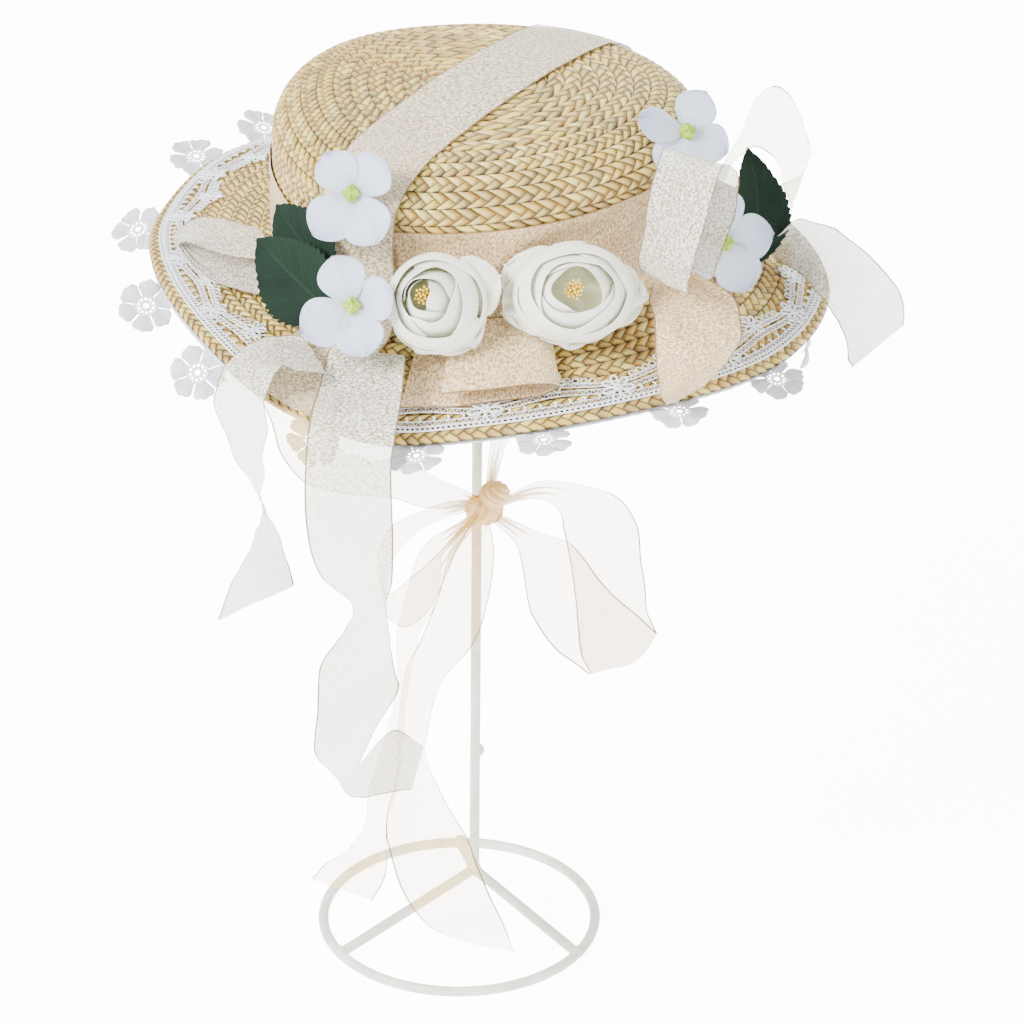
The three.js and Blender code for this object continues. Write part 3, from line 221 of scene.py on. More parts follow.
# %% Helper: round threads
def threads(paths, radius, sides=1):
    """A mesh in metres of round threads. Each path is (points in millimetres, closed)."""
    curve = bpy.data.curves.new("thread", "CURVE")
    curve.dimensions = "3D"
    curve.bevel_depth = radius / 1000
    curve.bevel_resolution = sides
    curve.use_fill_caps = True
    for points, closed in paths:
        spline = curve.splines.new("POLY")
        spline.points.add(len(points) - 1)
        for knot, point in zip(spline.points, points):
            knot.co = (*(Vector(point) / 1000), 1)
        spline.use_cyclic_u = closed
    holder = bpy.data.objects.new("thread", curve)
    bpy.context.scene.collection.objects.link(holder)
    bpy.context.view_layer.update()
    depsgraph = bpy.context.evaluated_depsgraph_get()
    mesh = bpy.data.meshes.new_from_object(holder.evaluated_get(depsgraph))
    bpy.data.objects.remove(holder)
    bpy.data.curves.remove(curve)
    bm = bmesh.new()
    bm.from_mesh(mesh)
    bpy.data.meshes.remove(mesh)
    return bm


# %% [markdown]
# ## Materials
# Each finish is a tree of shader nodes. A few small helpers keep the trees short: they add a node
# and join what is handed to its sockets, do arithmetic, mix colours and place a shared group.

# %% Helpers for shader trees
def srgb(code):
    """A colour written as six hex figures, in the linear values that Blender works with."""
    parts = [int(code[k:k + 2], 16) / 255 for k in (0, 2, 4)]
    return tuple(p / 12.92 if p <= 0.04045 else ((p + 0.055) / 1.055) ** 2.4 for p in parts) + (1.0,)


def hand_to(tree, socket, value):
    """Joins another socket to a socket, or sets its colour or plain value."""
    if isinstance(value, bpy.types.NodeSocket):
        tree.links.new(value, socket)
    else:
        socket.default_value = srgb(value) if isinstance(value, str) else value


def put(tree, kind, sockets=(), **settings):
    """Adds a node, sets its choices, and sets or joins its inputs."""
    node = tree.nodes.new(kind)
    for key, value in settings.items():
        setattr(node, key, value)
    for key, value in dict(sockets).items():
        hand_to(tree, node.inputs[key], value)
    return node


def calc(tree, how, *values):
    """Arithmetic on sockets or numbers."""
    return put(tree, "ShaderNodeMath", dict(enumerate(values)), operation=how).outputs[0]


def ramp(tree, factor, stops):
    """A colour ramp through (place, colour code) stops."""
    node = put(tree, "ShaderNodeValToRGB", {"Fac": factor})
    stops = [(place, srgb(code)) for place, code in stops]
    node.color_ramp.elements[0].position, node.color_ramp.elements[0].color = stops[0]
    node.color_ramp.elements[1].position, node.color_ramp.elements[1].color = stops[-1]
    for place, colour in stops[1:-1]:
        node.color_ramp.elements.new(place).color = colour
    return node.outputs["Color"]


def blend_colour(tree, factor, first, second):
    """Mixes two colours; a code of six hex figures counts as a colour."""
    return put(tree, "ShaderNodeMix", {"Factor": factor, 6: first, 7: second},
               data_type="RGBA").outputs[2]


def flat_map(tree):
    """The place on the flat sheet that a grid was bent from."""
    return put(tree, "ShaderNodeUVMap", uv_map="flat").outputs["UV"]


def emboss(tree, shader, height, strength, distance):
    """Shows a height as relief on the shader; the distance is in metres."""
    relief = put(tree, "ShaderNodeBump", {"Height": height, "Strength": strength,
                                          "Distance": distance})
    tree.links.new(relief.outputs[0], shader.inputs["Normal"])


def remap(tree, value, low=0.0, high=1.0, to_low=0.0, to_high=1.0, **choices):
    """Stretches the range from low to high over another one and holds it at the ends."""
    sockets = {"Value": value, "From Min": low, "From Max": high, "To Min": to_low, "To Max": to_high}
    return put(tree, "ShaderNodeMapRange", sockets, **choices).outputs[0]


def mottle(tree, vector, scale, detail, **more):
    """Soft noise from 0 to 1."""
    sockets = {"Vector": vector, "Scale": scale, "Detail": detail, **more}
    return put(tree, "ShaderNodeTexNoise", sockets).outputs["Fac"]


def stripes(tree, vector, scale, distortion, detail=2.0, direction="Y"):
    """Wavering stripes from 0 to 1."""
    sockets = {"Vector": vector, "Scale": scale, "Distortion": distortion, "Detail": detail}
    return put(tree, "ShaderNodeTexWave", sockets, wave_type="BANDS",
               bands_direction=direction).outputs["Fac"]


def split_up(tree, vector):
    """The three parts of a vector."""
    return put(tree, "ShaderNodeSeparateXYZ", {0: vector}).outputs


def wash(tree, base, colour, mask, share):
    """Lays a colour over a base, as strongly as a mask times a share."""
    return blend_colour(tree, calc(tree, "MULTIPLY", mask, share), base, colour)


def colour_with(tree, shader, colour, rough=None):
    """Joins a colour, and a roughness if one is given, to the shader."""
    tree.links.new(colour, shader.inputs["Base Color"])
    if rough is not None:
        tree.links.new(rough, shader.inputs["Roughness"])


def give(tree, taken, **values):
    """Joins the results of a group to its outputs."""
    for label, value in values.items():
        tree.links.new(value, taken[label])


def new_material(name, roughness, **constants):
    """A material with its shader; constants are set on the shader's own sockets."""
    material = bpy.data.materials.new(name)
    material.use_nodes = True
    tree = material.node_tree
    shader = tree.nodes["Principled BSDF"]
    shader.inputs["Roughness"].default_value = roughness
    for key, value in constants.items():
        shader.inputs[key.replace("_", " ")].default_value = value
    return material, tree, shader


def new_group(name, inputs, outputs):
    """A shared node group of named inputs, a vector where no value is given, and named outputs."""
    group = bpy.data.node_groups.new(name, "ShaderNodeTree")
    for label, value in inputs:
        kind = "NodeSocketVector" if value is None else "NodeSocketFloat"
        socket = group.interface.new_socket(label, in_out="INPUT", socket_type=kind)
        if value is not None:
            socket.default_value = value
    for label in outputs:
        group.interface.new_socket(label, in_out="OUTPUT", socket_type="NodeSocketFloat")
    entry = group.nodes.new("NodeGroupInput")
    leave = group.nodes.new("NodeGroupOutput")
    return group, entry.outputs, leave.inputs


def use_group(tree, group, **sockets):
    """Places a shared group in a material."""
    node = put(tree, "ShaderNodeGroup", {}, node_tree=group)
    for key, value in sockets.items():
        hand_to(tree, node.inputs[key], value)
    return node.outputs


# %% [markdown]
# All the ribbons share one crinkle: crepe yarns shrink unevenly, so the cloth is covered in tiny
# puckers, longer across the ribbon than along it, and each pucker glints on its own. The group
# gives the height of the puckers, a glint mask that the finishes paint into the colour as painted
# highlight and painted shade, and a line along each woven edge.

# %% Shared effect: crepe crinkle
PUCKERS = 1.2
crinkle, given, taken = new_group("crepe_crinkle", [("Flat", None), ("Width", RIBBON)],
                                  ["Height", "Glint", "Edge", "Cloud"])
stretched = put(crinkle, "ShaderNodeVectorMath", {0: given["Flat"], 1: (1.0, 0.5, 1.0)},
                operation="MULTIPLY").outputs[0]
pucker = mottle(crinkle, stretched, PUCKERS, 3.0, Roughness=0.6, Distortion=0.6)
yarn = mottle(crinkle, given["Flat"], 3.4, 1.0)
half = calc(crinkle, "MULTIPLY", given["Width"], 0.5)
from_middle = calc(crinkle, "ABSOLUTE", calc(
    crinkle, "SUBTRACT", split_up(crinkle, given["Flat"])["Y"], half))
give(crinkle, taken, Height=calc(crinkle, "ADD", pucker, calc(crinkle, "MULTIPLY", yarn, 0.35)),
     Glint=remap(crinkle, pucker, 0.44, 0.57),
     Edge=remap(crinkle, calc(crinkle, "SUBTRACT", half, from_middle), 0.9, 0.5),
     Cloud=mottle(crinkle, given["Flat"], 0.06, 2.0))

# %% [markdown]
# Dust and handling leave soft, uneven patches on anything that stands in a room. The second
# group makes such a patch mask from the object's own coordinates, at the size that is asked for.

# %% Shared effect: uneven patches
patches, given, taken = new_group("uneven_patches", [("Size", 20.0), ("Sharpness", 0.5)],
                                  ["Mask", "Grain"])
own = put(patches, "ShaderNodeTexCoord").outputs["Object"]
wide, fine = (mottle(patches, own, calc(patches, "DIVIDE", waves, given["Size"]), detail)
              for waves, detail in ((1000.0, 4.0), (9000.0, 3.0)))
blur = calc(patches, "MULTIPLY", calc(patches, "SUBTRACT", 1.0, given["Sharpness"]), 0.3)
give(patches, taken, Grain=fine, Mask=remap(
    patches, wide, calc(patches, "SUBTRACT", 0.5, blur), calc(patches, "ADD", 0.5, blur)))


# %% [markdown]
# The ribbon finishes differ only in colour and in how much shows through them. The tie ribbon is
# thin and nearly clear, and looks deeper where it crosses the straw. The tails and loops are a
# white or a peach crepe, and the gathered band is peach and closed.

# %% Ribbon finishes
def ribbon_finish(name, shade, light, thread, cover, bump=0.4, width=RIBBON):
    """Crinkled ribbon: painted shade and glint, a woven edge, and cover from 0, clear, to 1, closed."""
    material, tree, shader = new_material(name, 0.42, Sheen_Weight=0.25, Specular_IOR_Level=0.7)
    weave = use_group(tree, crinkle, Flat=flat_map(tree), Width=width)
    # The base colour is painted light: the light colour on each pucker's glint and the shade colour
    # between, as painted highlight and painted shade.
    soft = blend_colour(tree, weave["Glint"], shade, light)
    shaded = wash(tree, soft, light, weave["Cloud"], 0.25)
    colour_with(tree, shader, blend_colour(tree, weave["Edge"], shaded, thread),
                remap(tree, weave["Glint"], to_low=0.6, to_high=0.2))
    emboss(tree, shader, weave["Height"], bump, 0.0006)
    thin = calc(tree, "ADD", cover, calc(tree, "MULTIPLY", weave["Glint"], 0.12))
    closed = calc(tree, "ADD", thin, calc(tree, "MULTIPLY", weave["Edge"], 0.7))
    tree.links.new(calc(tree, "MINIMUM", closed, 1.0), shader.inputs["Alpha"])
    return material


tie_ribbon = ribbon_finish("tie_ribbon", "efb63c", "ffe08c", "5a3c12", 0.44)
over_crown_finish = ribbon_finish("tie_ribbon_over_straw", "978256", "ebdcbc", "7d6336", 0.86, bump=0.7)
white_crepe = ribbon_finish("white_crepe", "8f7f58", "fffdf0", "6b522a", 0.75, bump=1.0)
peach_crepe = ribbon_finish("peach_crepe", "a8824a", "f6dcae", "7a5826", 0.86, bump=0.9)
band_crepe = ribbon_finish("band_crepe", "997140", "e6c998", "8a6230", 0.97, bump=0.8, width=BAND_CUT)

# %% [markdown]
# Straw is glossy on its outer skin and dull where it is split. The plait is one flat braid: its
# splints pass over two and under two, so long ones lean one way above and their crossing partners
# show as triangles below. The rows carry a map that runs along the braid in millimetres and
# across it in rows. From that this group finds which splint lies on top, how round it is there,
# where it dives under its neighbour, which side of it takes a painted highlight, and where the
# gaps and the row edges take painted shade; and it gives each splint a tone of its own.

# %% Shared effect: the plait
DIAMOND = 5.7
CROSSINGS = 1.5
CENTRE_LINE = 0.42
plait_look, given, taken = new_group(
    "straw_plait",
    [("Braid", None)],
    ["Tone", "Round", "Gap Shade",
     "Row Shadow Line", "Fibre", "Lit Side"],
)
plus, minus, times = (functools.partial(calc, plait_look, how) for how in ("ADD", "SUBTRACT", "MULTIPLY"))
split = split_up(plait_look, given["Braid"])
steps = plus(calc(plait_look, "DIVIDE", split["X"], DIAMOND), 2000.0)
share = calc(plait_look, "FRACT", split["Y"])
row = calc(plait_look, "FLOOR", split["Y"])
slant = times(minus(share, CENTRE_LINE), CROSSINGS)
p = plus(steps, slant)
q = minus(steps, slant)
i, j = calc(plait_look, "FLOOR", p), calc(plait_look, "FLOOR", q)
long_one = calc(plait_look, "LESS_THAN", minus(i, j), 0.5)
partner = minus(1.0, long_one)


def either(first, second):
    """The first value on a long splint, the second on its crossing partner."""
    return plus(times(first, long_one),
                times(second, partner))


side = either(p, q)
run = either(minus(q, i),
             minus(minus(p, j), 1.0))
# lean runs across each splint; the straw finish paints its lit side as a painted highlight.
lean = calc(plait_look, "FRACT", side)
from_side = calc(plait_look, "ABSOLUTE", minus(times(lean, 2.0), 1.0))
belly = calc(plait_look, "SQRT", minus(1.0, calc(
    plait_look, "POWER", from_side, 2.2)))
dive = remap(plait_look, run, 0.0, 0.45, interpolation_type="SMOOTHSTEP")
rounded = times(belly, plus(0.35, times(dive, 0.65)))
# Painted shade at a splint's sides and where it dives under its neighbour.
side_gap_shade = remap(plait_look, from_side, 0.8, 1.0)
dive_shade = remap(plait_look, run, 0.16, 0.02)
gap = calc(plait_look, "MAXIMUM", side_gap_shade, dive_shade)
# The painted shadow line under the edge of each row.
row_edge = calc(plait_look, "ABSOLUTE", minus(times(share, 2.0), 1.0))
scallop = times(calc(plait_look, "COSINE", times(steps, TURN_ROUND)), 0.05)
row_shadow_line = remap(plait_look, plus(row_edge, scallop), 0.86, 0.99)
single = put(plait_look, "ShaderNodeCombineXYZ", {
    0: calc(plait_look, "FLOOR", side), 1: plus(row, times(partner, 70.0))}).outputs[0]
own_shade = put(plait_look, "ShaderNodeTexWhiteNoise", {"Vector": single},
                noise_dimensions="3D").outputs["Value"]
lengthways = put(plait_look, "ShaderNodeCombineXYZ", {
    0: times(side, 9.0), 1: times(run, 1.1),
    2: times(partner, 7.0)}).outputs[0]
fibres = mottle(plait_look, lengthways, 1.3, 2.0)
for socket, label in ((own_shade, "Tone"), (rounded, "Round"), (gap, "Gap Shade"), (row_shadow_line, "Row Shadow Line"),
                      (fibres, "Fibre"), (lean, "Lit Side")):
    plait_look.links.new(socket, taken[label])

# %% [markdown]
# The straw is golden, with a painted highlight on the rounded, lit side of each splint, painted
# shade where a splint dives or parts, and a painted shadow line under each row's edge.
# Age has browned it in soft patches.

# %% Straw finish
straw_finish, tree, shader = new_material("straw", 0.34, Specular_IOR_Level=0.55, Coat_Weight=0.2,
                                          Coat_Roughness=0.25)
weave = use_group(tree, plait_look, Braid=flat_map(tree))
age = use_group(tree, patches, Size=60.0, Sharpness=0.2)
look = ramp(tree, weave["Tone"], [(0.0, "4f4414"), (0.14, "7a520a"), (0.36, "a3700c"), (0.6, "c09016"),
                                  (0.8, "e0bc40"), (0.93, "f6e07e"), (1.0, "7f8648")])
lit = calc(tree, "MULTIPLY", weave["Round"], weave["Lit Side"])
# Over the tone: browned age patches, a painted highlight on the lit side of each rounded splint, fibres,
# painted shade in the gaps between splints and a painted shadow line between rows.
for colour, mask, share in (("8a5a14", age["Mask"], 0.25), ("fae88e", lit, 0.75),
                            ("936a1e", weave["Fibre"], 0.35), ("3f2a08", weave["Gap Shade"], 0.85),
                            ("2c1c04", weave["Row Shadow Line"], 0.95)):
    look = wash(tree, look, colour, mask, share)
colour_with(tree, shader, look, remap(tree, weave["Tone"], to_low=0.48, to_high=0.26))
relief = calc(tree, "ADD", weave["Round"], calc(tree, "MULTIPLY", weave["Fibre"], 0.12))
emboss(tree, shader, relief, 1.0, 0.0017)

# %% [markdown]
# ## The straw
# The hat is drawn from a short core line: at every angle the wall keeps the same reach from it,
# which gives the egg-like oval of a real hat block. The brim's width and slope change round the
# hat, so both stand in a short table that is read smoothly between its rows.

# %% The hat's shape
HAT_ASIDE = 15.1
BRIM_HEIGHT = 383.0
CROWN_HEIGHT = 81.3
CROWN_REACH = 91.0
CORE = 9.3
EGG = 0.19
TURN = math.radians(8.8)
FLAT = 53.5
DOME = 3.3
SHOULDER = 26.1
SIDE = CROWN_HEIGHT - DOME - SHOULDER
BRIM_WIDTH = 60.0
BRIM_CURL = 1.12
BRIM_SECTIONS = [  # angle, width share, slope in degrees
    (-150, 0.95, 3), (-120, 0.935, 24), (-105, 0.96, 31.5), (-90, 0.965, 27.5), (-75, 1.0, 23),
    (-60, 1.05, 22), (-30, 1.13, 29), (0, 1.165, 27.5), (30, 1.13, 24), (60, 1.065, 22),
    (90, 1.0, 14.4), (120, 0.98, 11), (150, 0.98, 11), (180, 0.975, 1),
]
BAND_SECTIONS = [(-160, 0.8), (-120, 0.98), (-80, 1.0), (-30, 1.03), (30, 0.92), (90, 0.85), (150, 0.8)]


def ring_value(rows, column, deg):
    """A column's value at an angle, smooth and closed round the hat."""
    n = len(rows)
    d = (deg - rows[0][0]) % 360 + rows[0][0]
    i = max(k for k in range(n) if rows[k][0] <= d)
    at = [rows[(i + k) % n][0] + 360 * ((i + k) // n) for k in (-1, 0, 1, 2)]
    y = [rows[(i + k) % n][column] for k in (-1, 0, 1, 2)]
    h = at[2] - at[1]
    u = (d - at[1]) / h
    m0, m1 = (y[2] - y[0]) / (at[2] - at[0]), (y[3] - y[1]) / (at[3] - at[1])
    return (y[1] * (1 + 2 * u) * (1 - u) ** 2 + m0 * h * u * (1 - u) ** 2
            + y[2] * u * u * (3 - 2 * u) - m1 * h * u * u * (1 - u))


@functools.lru_cache(maxsize=None)
def brim_at(t):
    """Width and slope of the brim at an angle."""
    deg = math.degrees(t)
    wide = BRIM_WIDTH * ring_value(BRIM_SECTIONS, 1, deg)
    return wide, math.radians(ring_value(BRIM_SECTIONS, 2, deg))


def oval(t, reach):
    """Plan of the hat at an angle and a reach from the core line."""
    c, s = math.cos(t), math.sin(t)
    x = CORE * c / math.sqrt(c * c + 0.1) + reach * c - EGG * reach * s * s
    y = reach * s
    return (HAT_ASIDE + x * math.cos(TURN) - y * math.sin(TURN),
            x * math.sin(TURN) + y * math.cos(TURN))


def brim_point(t, out, lift=0.0):
    """A point of the brim: out is 0 at the crown and 1 at the edge, lift is off the straw."""
    wide, slope = brim_at(round(t, 5))
    x, y = oval(t, CROWN_REACH + wide * out * math.cos(slope) + lift * math.sin(slope))
    drop = wide * math.sin(slope) * math.copysign(abs(out) ** BRIM_CURL, out)
    return Vector((x, y, BRIM_HEIGHT - drop + lift * math.cos(slope)))


def brim_frame(t, out, lift=0.0):
    """A place on the brim with its directions round the hat, outward and up."""
    p = brim_point(t, out, lift)
    around = (brim_point(t + 0.01, out, lift) - p).normalized()
    outward = (brim_point(t, out + 0.01, lift) - p).normalized()
    return p, around, outward, outward.cross(around).normalized()


def shoulder(a):
    """Height and normal of the crown's shoulder, a quarter of an ellipse, at its angle."""
    n = Vector((math.sin(a) / (CROWN_REACH - FLAT), math.cos(a) / SHOULDER)).normalized()
    return CROWN_HEIGHT - DOME - SHOULDER * (1 - math.cos(a)), n.x, n.y


def crown_at(reach):
    """Height and normal of the crown's top and shoulder at a reach."""
    if reach <= FLAT:
        n = Vector((2 * DOME * reach / FLAT ** 2, 1)).normalized()
        return CROWN_HEIGHT - DOME * (reach / FLAT) ** 2, n.x, n.y
    return shoulder(math.asin(min(1.0, (reach - FLAT) / (CROWN_REACH - FLAT))))


def crown_walk():
    """Steps down the crown from its middle: length walked, reach, height, normal."""
    steps = [(FLAT * k / 60,) + crown_at(FLAT * k / 60) for k in range(60)]
    for k in range(81):
        a = math.pi / 2 * k / 80
        steps.append((FLAT + (CROWN_REACH - FLAT) * math.sin(a),) + shoulder(a))
    steps += [(CROWN_REACH, SIDE * (1 - k / 20), 1.0, 0.0) for k in range(1, 21)]
    walked, table = 0.0, []
    for k, step in enumerate(steps):
        if k:
            walked += math.dist(step[:2], steps[k - 1][:2])
        table.append((walked,) + step)
    return table


CROWN_WALK = crown_walk()
CROWN_LENGTH = CROWN_WALK[-1][0]
print("straw from the middle to the crown's foot:", round(CROWN_LENGTH, 1), "mm")


def crown_step(s):
    """Reach, height and normal at a length walked down the crown."""
    s = min(max(s, 0.0), CROWN_LENGTH)
    low, high = 0, len(CROWN_WALK) - 1
    while high - low > 1:
        middle = (low + high) // 2
        if CROWN_WALK[middle][0] <= s:
            low = middle
        else:
            high = middle
    a, b = CROWN_WALK[low], CROWN_WALK[high]
    f = (s - a[0]) / max(b[0] - a[0], 1e-9)
    return [x + (y - x) * f for x, y in zip(a[1:], b[1:])]


# %% [markdown]
# The mesh has the same plait as the straw's shader, in relief. One row's lower edge lies on the
# next row, a step that casts a thin shadow; the shader also paints a dark shadow line there. This
# function takes a place along and across the row and gives the height there in millimetres; crown
# and brim both use it.

# %% The plait
ROW = 8.09


def plait(along, share):
    """Height in millimetres at a place of the braid; share is across the row."""
    slant = CROSSINGS * (share - CENTRE_LINE)
    p, q = along / DIAMOND + slant, along / DIAMOND - slant
    i, j = math.floor(p), math.floor(q)
    side, run = (p, q - i) if i <= j else (q, p - j - 1)
    belly = max(0.0, 1 - (2 * (side % 1) - 1) ** 2) ** 0.5
    dive = 0.35 + 0.65 * min(1.0, max(0.0, run / 0.45))
    row_shape = (min(1.0, share / 0.2) * min(1.0, (1 - share) / 0.13)) ** 0.6
    return -0.9 + row_shape * (0.55 + 0.25 * share + 0.8 * belly * dive)


def straw_grid(along, across, place, braid):
    """A bent grid whose map runs along the braid and across its rows; braid(u, v) gives both."""
    grid = bent_grid(along, across, place)
    layer = grid.loops.layers.uv["flat"]
    for face in grid.faces:
        middle = sum(loop[layer].uv.y for loop in face.loops) / len(face.loops)
        for loop in face.loops:
            loop[layer].uv = braid(loop[layer].uv.x, loop[layer].uv.y, middle)
    return grid


# %% [markdown]
# The rows are one spiral from the middle outward, so the grid itself winds: its last column sits
# one row further in than its first, and the seam closes on itself.

# %% Crown
SPIRAL_START = 2.32
CROWN_ROWS = 20
STEPS_A_ROW = 8
TOP_REACH = 60  # the rows are round up to here, and further out they all count as equally long
SIDE_REACH = 88


def spiral_walked(turns):
    """Length of braid from the middle to a number of turns."""
    s = max(turns, 0.0) * ROW + SPIRAL_START
    return math.pi * ROW * max(turns, 0.0) ** 2 if s < TOP_REACH else TURN_ROUND * (
        TOP_REACH ** 2 / (2 * ROW) + (s - TOP_REACH) / ROW * SIDE_REACH)


def crown_place(u, v):
    """A point of the spiral of straw on the outside of the crown."""
    step = v * CROWN_ROWS
    row = math.floor(step + 1e-6)
    share = max(0.0, step - row)
    s = SPIRAL_START + ROW * (step - u)
    height = plait(spiral_walked(row - u), share)
    if s <= 0 or s >= CROWN_LENGTH:
        height = -0.6
    reach, rise, out, up = crown_step(s)
    t = u * TURN_ROUND
    x, y = oval(t, max(0.0, reach + height * out * min(1.0, reach / 12)))
    return Vector((x, y, BRIM_HEIGHT + rise + height * up))


def crown_braid(u, v, middle):
    """The spiral's own length and row number, with each face kept inside one row."""
    row = math.floor(middle * CROWN_ROWS)
    share = min(max(v * CROWN_ROWS - row, 0.001), 0.999)
    return spiral_walked(row - u), row + share


def crown_inside(u, v):
    """A point of the crown's plain inner face."""
    reach, rise, out, up = crown_step(v * (CROWN_LENGTH - CLEAR))
    x, y = oval(u * TURN_ROUND, max(0.0, reach - STRAW * out))
    return Vector((x, y, BRIM_HEIGHT + rise - STRAW * up))


crown = straw_grid(540, CROWN_ROWS * STEPS_A_ROW, crown_place, crown_braid)
add_grid(crown, straw_grid(140, 76, crown_inside, crown_braid))
close_seam(crown)
bmesh.ops.dissolve_degenerate(crown, edges=crown.edges, dist=1e-6)
piece_of("crown_straw", crown, straw_finish, "crown")

# %% [markdown]
# The brim's rows run parallel to its edge. One sheet goes out over the top, round the edge and
# back below, so the edge is a plump braid and the underside shows plait as well.

# %% Brim
BRIM_ROWS = 8
BRIM_SPAN = 62  # the brim's mean width, measured along its droop


def brim_row(v):
    """Row of the brim, share across it and way out from the crown, over the top or back below."""
    out = 2 * v if v <= 0.5 else 2 * (1 - v)
    step = min(out * BRIM_ROWS, BRIM_ROWS - 1e-6)
    row = math.floor(step + 1e-6)
    return row, max(0.0, step - row), out


def brim_walked(u, row):
    """Length of braid along a row, a whole number of diamonds round the hat."""
    cells = 2 * round(TURN_ROUND * (CROWN_REACH + BRIM_SPAN * (row + 0.5) / BRIM_ROWS) / DIAMOND / 2)
    return u * cells * DIAMOND


def brim_place(u, v):
    """A point of the brim's rows, over the top for the first half of v and back below."""
    t = u * TURN_ROUND
    top = v <= 0.5
    row, share, out = brim_row(v)
    height = plait(brim_walked(u, row), share)
    if v in (0.0, 1.0):
        x, y = oval(t, CROWN_REACH - STRAW)
        return Vector((x, y, BRIM_HEIGHT - STRAW / 2))
    if abs(v - 0.5) < 1e-6:
        return brim_point(t, 1.006, -STRAW / 2)
    edge = 0.45 * max(0.0, (out - 0.965) / 0.035)
    lift = height - edge if top else -STRAW - height * 0.5 - 0.2 + edge
    return brim_point(t, out, lift)


def brim_braid(u, v, middle):
    """Length and row number on the brim, with each face kept inside one row."""
    row, _, _ = brim_row(middle)
    out = 2 * v if middle <= 0.5 else 2 * (1 - v)
    share = min(max(out * BRIM_ROWS - row, 0.001), 0.999)
    return brim_walked(u, row), row + share + (0 if middle <= 0.5 else 40)


brim = straw_grid(700, 2 * BRIM_ROWS * 7, brim_place, brim_braid)
close_seam(brim)
piece_of("brim_straw", brim, straw_finish, "brim")

# %% [markdown]
# ## Ribbons
# Every ribbon follows a few sections: a middle point, a direction across, and how much of the
# ribbon's width is left open there. A smooth curve joins the middles. Where a ribbon is pinched,
# its spare width stands up in folds, so it gathers instead of shrinking, as real cloth does.

# %% A smooth curve through points
def curve_point(points, u, pace=None):
    """Centripetal curve through points, u from 0 to 1; pace lends the spacing of other points."""
    last = len(points) - 1
    place = last * u
    k = min(int(place), last - 1)
    f = place - k
    p1, p2 = points[k], points[k + 1]
    p0 = points[k - 1] if k else p1 * 2 - p2
    p3 = points[k + 2] if k + 2 <= last else p2 * 2 - p1
    s = pace or points
    d1 = (s[k + 1] - s[k]).length ** 0.5 or 1.0
    d0 = (s[k] - s[k - 1]).length ** 0.5 if k else d1
    d2 = (s[k + 2] - s[k + 1]).length ** 0.5 if k + 2 <= last else d1
    d0, d2 = max(d0, 0.01 * d1), max(d2, 0.01 * d1)
    m1 = ((p1 - p0) / d0 - (p2 - p0) / (d0 + d1) + (p2 - p1) / d1) * d1
    m2 = ((p2 - p1) / d1 - (p3 - p1) / (d1 + d2) + (p3 - p2) / d2) * d1
    return (p1 + m1 * f + (p2 * 3 - p1 * 3 - m1 * 2 - m2) * f ** 2
            + (p1 * 2 - p2 * 2 + m1 + m2) * f ** 3)


def across(turn, tip):
    """Unit direction across a ribbon, from two angles in degrees."""
    a, b = math.radians(turn), math.radians(tip)
    return Vector((math.cos(a) * math.cos(b), math.sin(a) * math.cos(b), math.sin(b)))


def free_sections(start, length, rows):
    """Sections that hang or fly: drop, aside, ahead are shares of the ribbon's length."""
    return [(Vector(start) + Vector((r[1], -r[2], -r[0])) * length, across(r[3], r[4]),
             r[5] if len(r) > 5 else 1.0) for r in rows]


KNOT = Vector((15, -30, 254))


def tucked(sections, start, end):
    """Draws the ends of a tied ribbon together into the knot."""
    made = list(sections)
    for k, wanted in ((0, start), (len(made) - 1, end)):
        if wanted:
            made[k] = (made[k][0].lerp(KNOT, 0.45), made[k][1], 0.13)
    return made


def brim_sections(rows):
    """Sections on the brim: angle, out, lift as a share of the width, turn, and open share."""
    sections = []
    for at, out, lift, turn, *full in rows:
        p, around, outward, _ = brim_frame(math.radians(at), out, lift * RIBBON)
        a = math.radians(turn)
        sections.append((p, around * math.cos(a) + outward * math.sin(a), full[0] if full else 1.0))
    return sections


# %% [markdown]
# A ribbon's surface is worked out once, from its sections, and every ribbon is then a grid bent
# onto it. Its length along the curve is the length of the cloth that it is cut from.

# %% A ribbon from its sections
def ribbon_shape(sections, soft=0.5, seed=0.0, folds=4, belly=None):
    """place(u, v) of a ribbon. soft is the height of its wrinkles; belly rounds a fold: its
    place along the ribbon, its length there, and how far the middle goes which way."""
    middles = [s[0] for s in sections]
    spans = [s[1] * s[2] for s in sections]

    @functools.lru_cache(maxsize=None)
    def row_at(u):
        span = curve_point(spans, u, middles)
        return curve_point(middles, u), span.normalized(), min(1.0, span.length)

    def place(u, v):
        centre, way, full = row_at(round(u, 6))
        ahead = row_at(round(min(1.0, u + 0.01), 6))[0] - row_at(round(max(0.0, u - 0.01), 6))[0]
        up = ahead.cross(way).normalized()
        side = 2 * v - 1
        spare = max(0.0, 1 - full)
        lift = spare * 2.6 * math.sin(folds * TURN_ROUND * v + seed) * (1 - 0.35 * abs(side))
        calm = 0.15 + 0.85 * full
        lift += calm * soft * 2.2 * noise.noise(Vector((u * 9 + seed, v * 2.2, seed)))
        lift += calm * soft * 0.7 * noise.noise(Vector((u * 34 + seed, v * 6, seed)))
        frill = 0.35 * soft * math.sin(u * 40 + seed * 3) * abs(side) ** 3
        point = centre + way * side * (RIBBON / 2 * full) + up * (lift + frill)
        if belly:
            at, long, push = belly
            near = math.exp(-((u - at) / long) ** 2)
            point += push * near * (1 - 1.5 * side * side)
        return point

    return place


